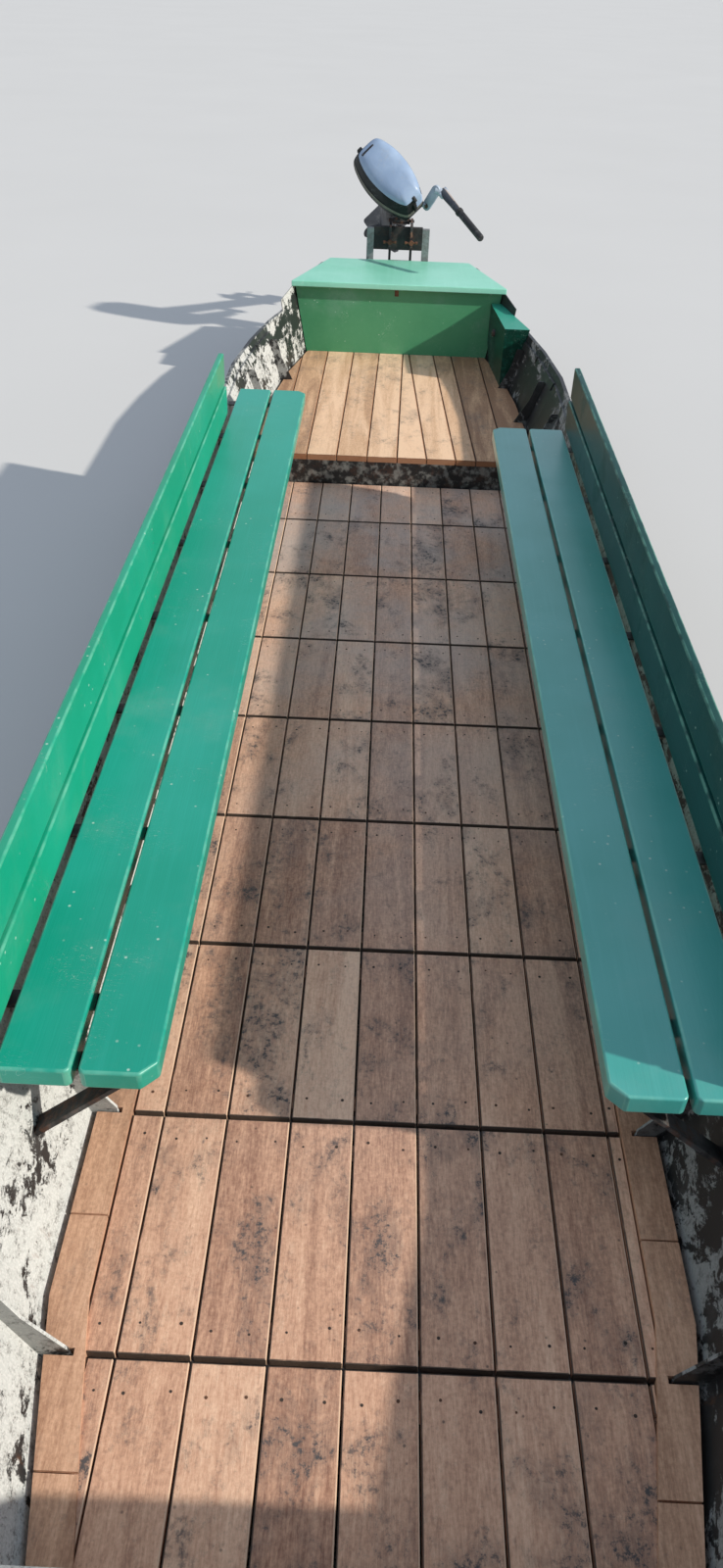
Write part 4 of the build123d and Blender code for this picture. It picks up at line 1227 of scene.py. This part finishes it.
@dataclass
class Tiller:
    """Bolted bracket, tapered arm and ribbed twist grip."""

    finishes: Finishes
    motor: Motor
    bolt: Point = (0.076, -0.120, 0.120)
    elbow: Point = (0.145, -0.116, 0.200)
    hinge: Point = (0.166, -0.156, 0.200)
    end: Point = (0.086, -0.527, 0.415)
    boss: Point = (0.048, -0.070, 0.112)
    grip_start: float = 0.40
    lug_radius: float = 0.0255
    lug_half: float = 0.0085
    lug_ease: float = 0.004
    lug_steps: int = 12
    boss_radius: float = 0.0135
    # Neck between the elbow and the hinge: radius at both ends, share that it starts before the elbow
    neck: Flat = (0.0195, 0.0180)
    neck_lead: float = 0.1
    barrel_radius: float = 0.0195
    barrel_reach: Flat = (0.026, 0.024)
    # Washer and head of the bolt: radius, height above the lug
    washer: Flat = (0.0135, 0.0015)
    bolt_head: Flat = (0.0095, 0.007)
    # Sections of the arm: share of the way to the grip's end, half width, half height
    arm_rows: tuple[Point, ...] = ((-0.045, 0.012, 0.014), (-0.030, 0.020, 0.021), (0.0, 0.0225, 0.0225),
                                   (0.10, 0.0215, 0.0200), (0.25, 0.0190, 0.0180), (0.385, 0.0175, 0.0165),
                                   (0.398, 0.0150, 0.0145))
    # Faces of the arm past this offset along its x take the pale finish: painted highlight on the side that
    # faces the key
    highlit_from: float = 0.0115
    grip_radius: float = 0.0188
    # Sections of the grip: place, and radius as a share of the grip's. A collar row's place is a share of
    # the way to the end past the grip's start, a rib row's a share of one rib, an end row's of the whole way
    collar_rows: tuple[Flat, ...] = ((0.002, 0.4), (0.002, 1.10), (0.006, 1.20), (0.036, 1.20),
                                     (0.042, 0.94))
    rib_rows: tuple[Flat, ...] = ((0.0, 0.93), (0.18, 1.0), (0.70, 1.0), (0.88, 0.93))
    end_rows: tuple[Flat, ...] = ((0.985, 0.95), (0.994, 0.80), (0.999, 0.50))
    ribs_from: float = 0.05
    ribs: int = 17

    def along(self, share: float) -> Vector:
        """A point between the hinge and the grip's end."""
        return Vector(self.hinge).lerp(Vector(self.end), share)

    def section(self, share: float, wide: float, high: float, corner: float = 2.6, count: int = 28
                ) -> list[Point]:
        """A rounded section across the arm.

        Args:
            share: the section's place.
            wide: its half width.
            high: its half height.
            corner: the power that squares its corners; 2 is an ellipse.
            count: its points.

        Returns:
            The ring.
        """
        way = (Vector(self.end) - Vector(self.hinge)).normalized()
        across = Vector((1, 0, 0)) - way * way.x
        across.normalize()
        upward = way.cross(across)
        centre = self.along(share)
        row: list[Point] = []
        for index in range(count):
            angle = math.tau * index / count
            cosine, sine = math.cos(angle), math.sin(angle)
            u = math.copysign(abs(cosine) ** (2 / corner), cosine) * wide
            v = math.copysign(abs(sine) ** (2 / corner), sine) * high
            row.append(tuple(centre + across * u + upward * v))
        return row

    def bracket(self) -> None:
        """The bolted lug, its boss, the neck to the hinge and the hinge's barrel."""
        bolt, elbow, hinge = Vector(self.bolt), Vector(self.elbow), Vector(self.hinge)
        climb = elbow - bolt
        out = climb.cross(Vector((0, 1, 0))).normalized()
        along = climb.normalized()
        frame_lug = Matrix((along, out.cross(along), out)).transposed().to_4x4()
        frame_lug = Matrix.Translation(bolt.lerp(elbow, 0.5)) @ frame_lug
        reach, radius = climb.length / 2, self.lug_radius
        outline: list[Flat] = []
        for sign in (1, -1):
            for step in range(self.lug_steps + 1):
                angle = math.pi * (step / self.lug_steps - 0.5)
                outline.append((sign * (reach + radius * math.cos(angle)), sign * radius * math.sin(angle)))
        lug = Shell()
        lug.prism(outline, -self.lug_half, self.lug_half, self.lug_ease, 3, under=True)
        lug.points = [tuple(frame_lug @ Vector(point)) for point in lug.points]
        lug.tube(self.bolt, self.boss, self.boss_radius)
        lug.tube(tuple(elbow - (hinge - elbow) * self.neck_lead), self.hinge, *self.neck, 24)
        left, right = self.barrel_reach
        x, y, z = self.hinge
        lug.tube((x - left, y, z), (x + right, y, z), self.barrel_radius, sides=24)
        for (size, above), sides in ((self.washer, 24), (self.bolt_head, 6)):
            lug.tube(self.bolt, tuple(bolt + out * (self.lug_half + above)), size, sides=sides, slot=1)
        first = len(lug.faces)
        lug.rings([self.section(*row) for row in self.arm_rows], [2] * (len(self.arm_rows) - 1))
        way = (Vector(self.end) - hinge).normalized()
        for index in range(first, len(lug.faces)):
            middle = sum((Vector(lug.points[corner]) for corner in lug.faces[index]), Vector())
            offset = middle / len(lug.faces[index]) - hinge
            offset -= way * offset.dot(way)
            # Painted highlight: the arm's side towards the key is pale
            if offset.x > self.highlit_from:
                lug.slots[index] = 3
        names = ("tiller grey", "screw steel", "arm slate", "arm highlit side")
        thing = lug.piece("tiller_casting", [self.finishes[name] for name in names], sharp=40.0,
                          move=self.motor.move)
        settle(thing, Body.MOTOR, "tiller_arm")

    def grip(self) -> None:
        """The twist grip: collar, ribs and a domed end."""
        start, wide = self.grip_start, self.grip_radius
        rows = [(start + share, size) for share, size in self.collar_rows]
        start += self.ribs_from
        step = (self.end_rows[0][0] - start) / self.ribs
        for rib in range(self.ribs):
            rows += [(start + step * (rib + share), size) for share, size in self.rib_rows]
        rows += self.end_rows
        shell = Shell()
        shell.rings([self.section(share, wide * size, wide * size, 2.0) for share, size in rows])
        thing = shell.piece("twist_grip", [self.finishes["grip rubber"]], sharp=30.0, move=self.motor.move)
        settle(thing, Body.MOTOR, "tiller_grip")

    def build(self) -> None:
        """Bracket, arm and grip."""
        self.bracket()
        self.grip()


@dataclass
class SmallIron:
    """Rusty clamp screws, the knob of the quarter box and the catch plate of the helm seat."""

    finishes: Finishes
    screw_xs: Flat = (-0.061, 0.061)
    screw_z: float = 0.715
    screw_ys: Flat = (3.940, 4.000)
    screw_radius: float = 0.0082
    head_ys: Flat = (3.938, 3.959)
    head_radius: float = 0.0125
    handle_y: float = 3.949
    handle_half: float = 0.031
    handle_radius: float = 0.0052
    tip_half: float = 0.006
    tip_radius: float = 0.0085
    # Knob: where it meets the box, the way it faces, its two ends along that way, radius at both ends
    knob_spot: Point = (0.5247, 3.262, 0.430)
    knob_way: Point = (-0.487, -0.042, 0.0)
    knob_ends: Flat = (-0.004, 0.014)
    knob_radii: Flat = (0.021, 0.017)
    catch: tuple[Point, Point] = ((-0.022, 3.4575, 0.545), (0.000, 3.4605, 0.583))
    catch_ease: float = 0.001

    def bar(self, shell: Shell, middle: float, half: float, radius: float) -> None:
        """Add a bar across the boat at the height of the screws' handles."""
        y, z = self.handle_y, self.screw_z
        shell.tube((middle - half, y, z), (middle + half, y, z), radius)

    def build(self) -> None:
        """Every piece."""
        shell = Shell()
        lengthwise = ((self.screw_ys, self.screw_radius), (self.head_ys, self.head_radius))
        for x in self.screw_xs:
            for (start, end), radius in lengthwise:
                shell.tube((x, start, self.screw_z), (x, end, self.screw_z), radius)
            self.bar(shell, x, self.handle_half, self.handle_radius)
            for side in (-1, 1):
                self.bar(shell, x + side * self.handle_half, self.tip_half, self.tip_radius)
        self.fit(shell, "clamp_screws", "rusty iron")
        shell = Shell()
        way = Vector(self.knob_way).normalized()
        foot, head = (tuple(Vector(self.knob_spot) + way * reach) for reach in self.knob_ends)
        shell.tube(foot, head, *self.knob_radii, 28)
        self.fit(shell, "box_knob", "black steel")
        shell = Shell()
        shell.box(*self.catch, self.catch_ease, 1)
        self.fit(shell, "catch_plate", "rusty iron")

    def fit(self, shell: Shell, name: str, finish: str) -> None:
        """Dress one piece and let it ride on the hull."""
        settle(shell.piece(name, [self.finishes[finish]]))


# Finishes of the frame's own nodes that stay in sight

NODE_FINISHES: dict[str, str] = {
    "hull bitumen": "bottom_mid bottom_bow bottom_stern side_plates_bow side_plates_fore side_plates_mid "
                    "side_plates_quarter side_plates_aft side_plates_seat side_plates_stern bow_transom "
                    "stern_transom foredeck fore_bulkhead stern_cheeks ribs inner_rails gunwale_bow "
                    "gunwale_mid gunwale_aft",
    "riser steel": "aft_riser",
    "black steel": "floor_bearers mooring_lugs bench_brackets_port bench_brackets_starboard",
    "margin hardwood": "margin_planks",
    "panel green": "helm_seat_front",
    "box green": "quarter_box",
    "galvanised post": "motor_posts",
    "pad board": "motor_pad",
    "clamp casting": "clamp_bracket swivel_bracket",
    "leg grey": "motor_leg gearcase propeller",
    "tray black": "motor_pan",
}


def dress_frame(finishes: Finishes) -> None:
    """Give every node that stays its finish."""
    for finish, nodes in NODE_FINISHES.items():
        for name in nodes.split():
            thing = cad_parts[name]
            thing.data.materials.clear()
            thing.data.materials.append(finishes[finish])
            LOG.info("%s: %s", name, finish)


def main() -> None:
    """Build the studio, the finishes and every piece."""
    logging.basicConfig(level=logging.INFO, format="%(message)s")
    finishes = Finishes()
    Studio().build()
    dress_frame(finishes)
    motor = Motor(finishes)
    for maker in (Benches(finishes), Floor(finishes), AftDeck(finishes), HelmSeat(finishes), motor,
                  Tiller(finishes, motor), SmallIron(finishes)):
        maker.build()
        LOG.info("%s built", type(maker).__name__)


if __name__ == "__main__":
    main()
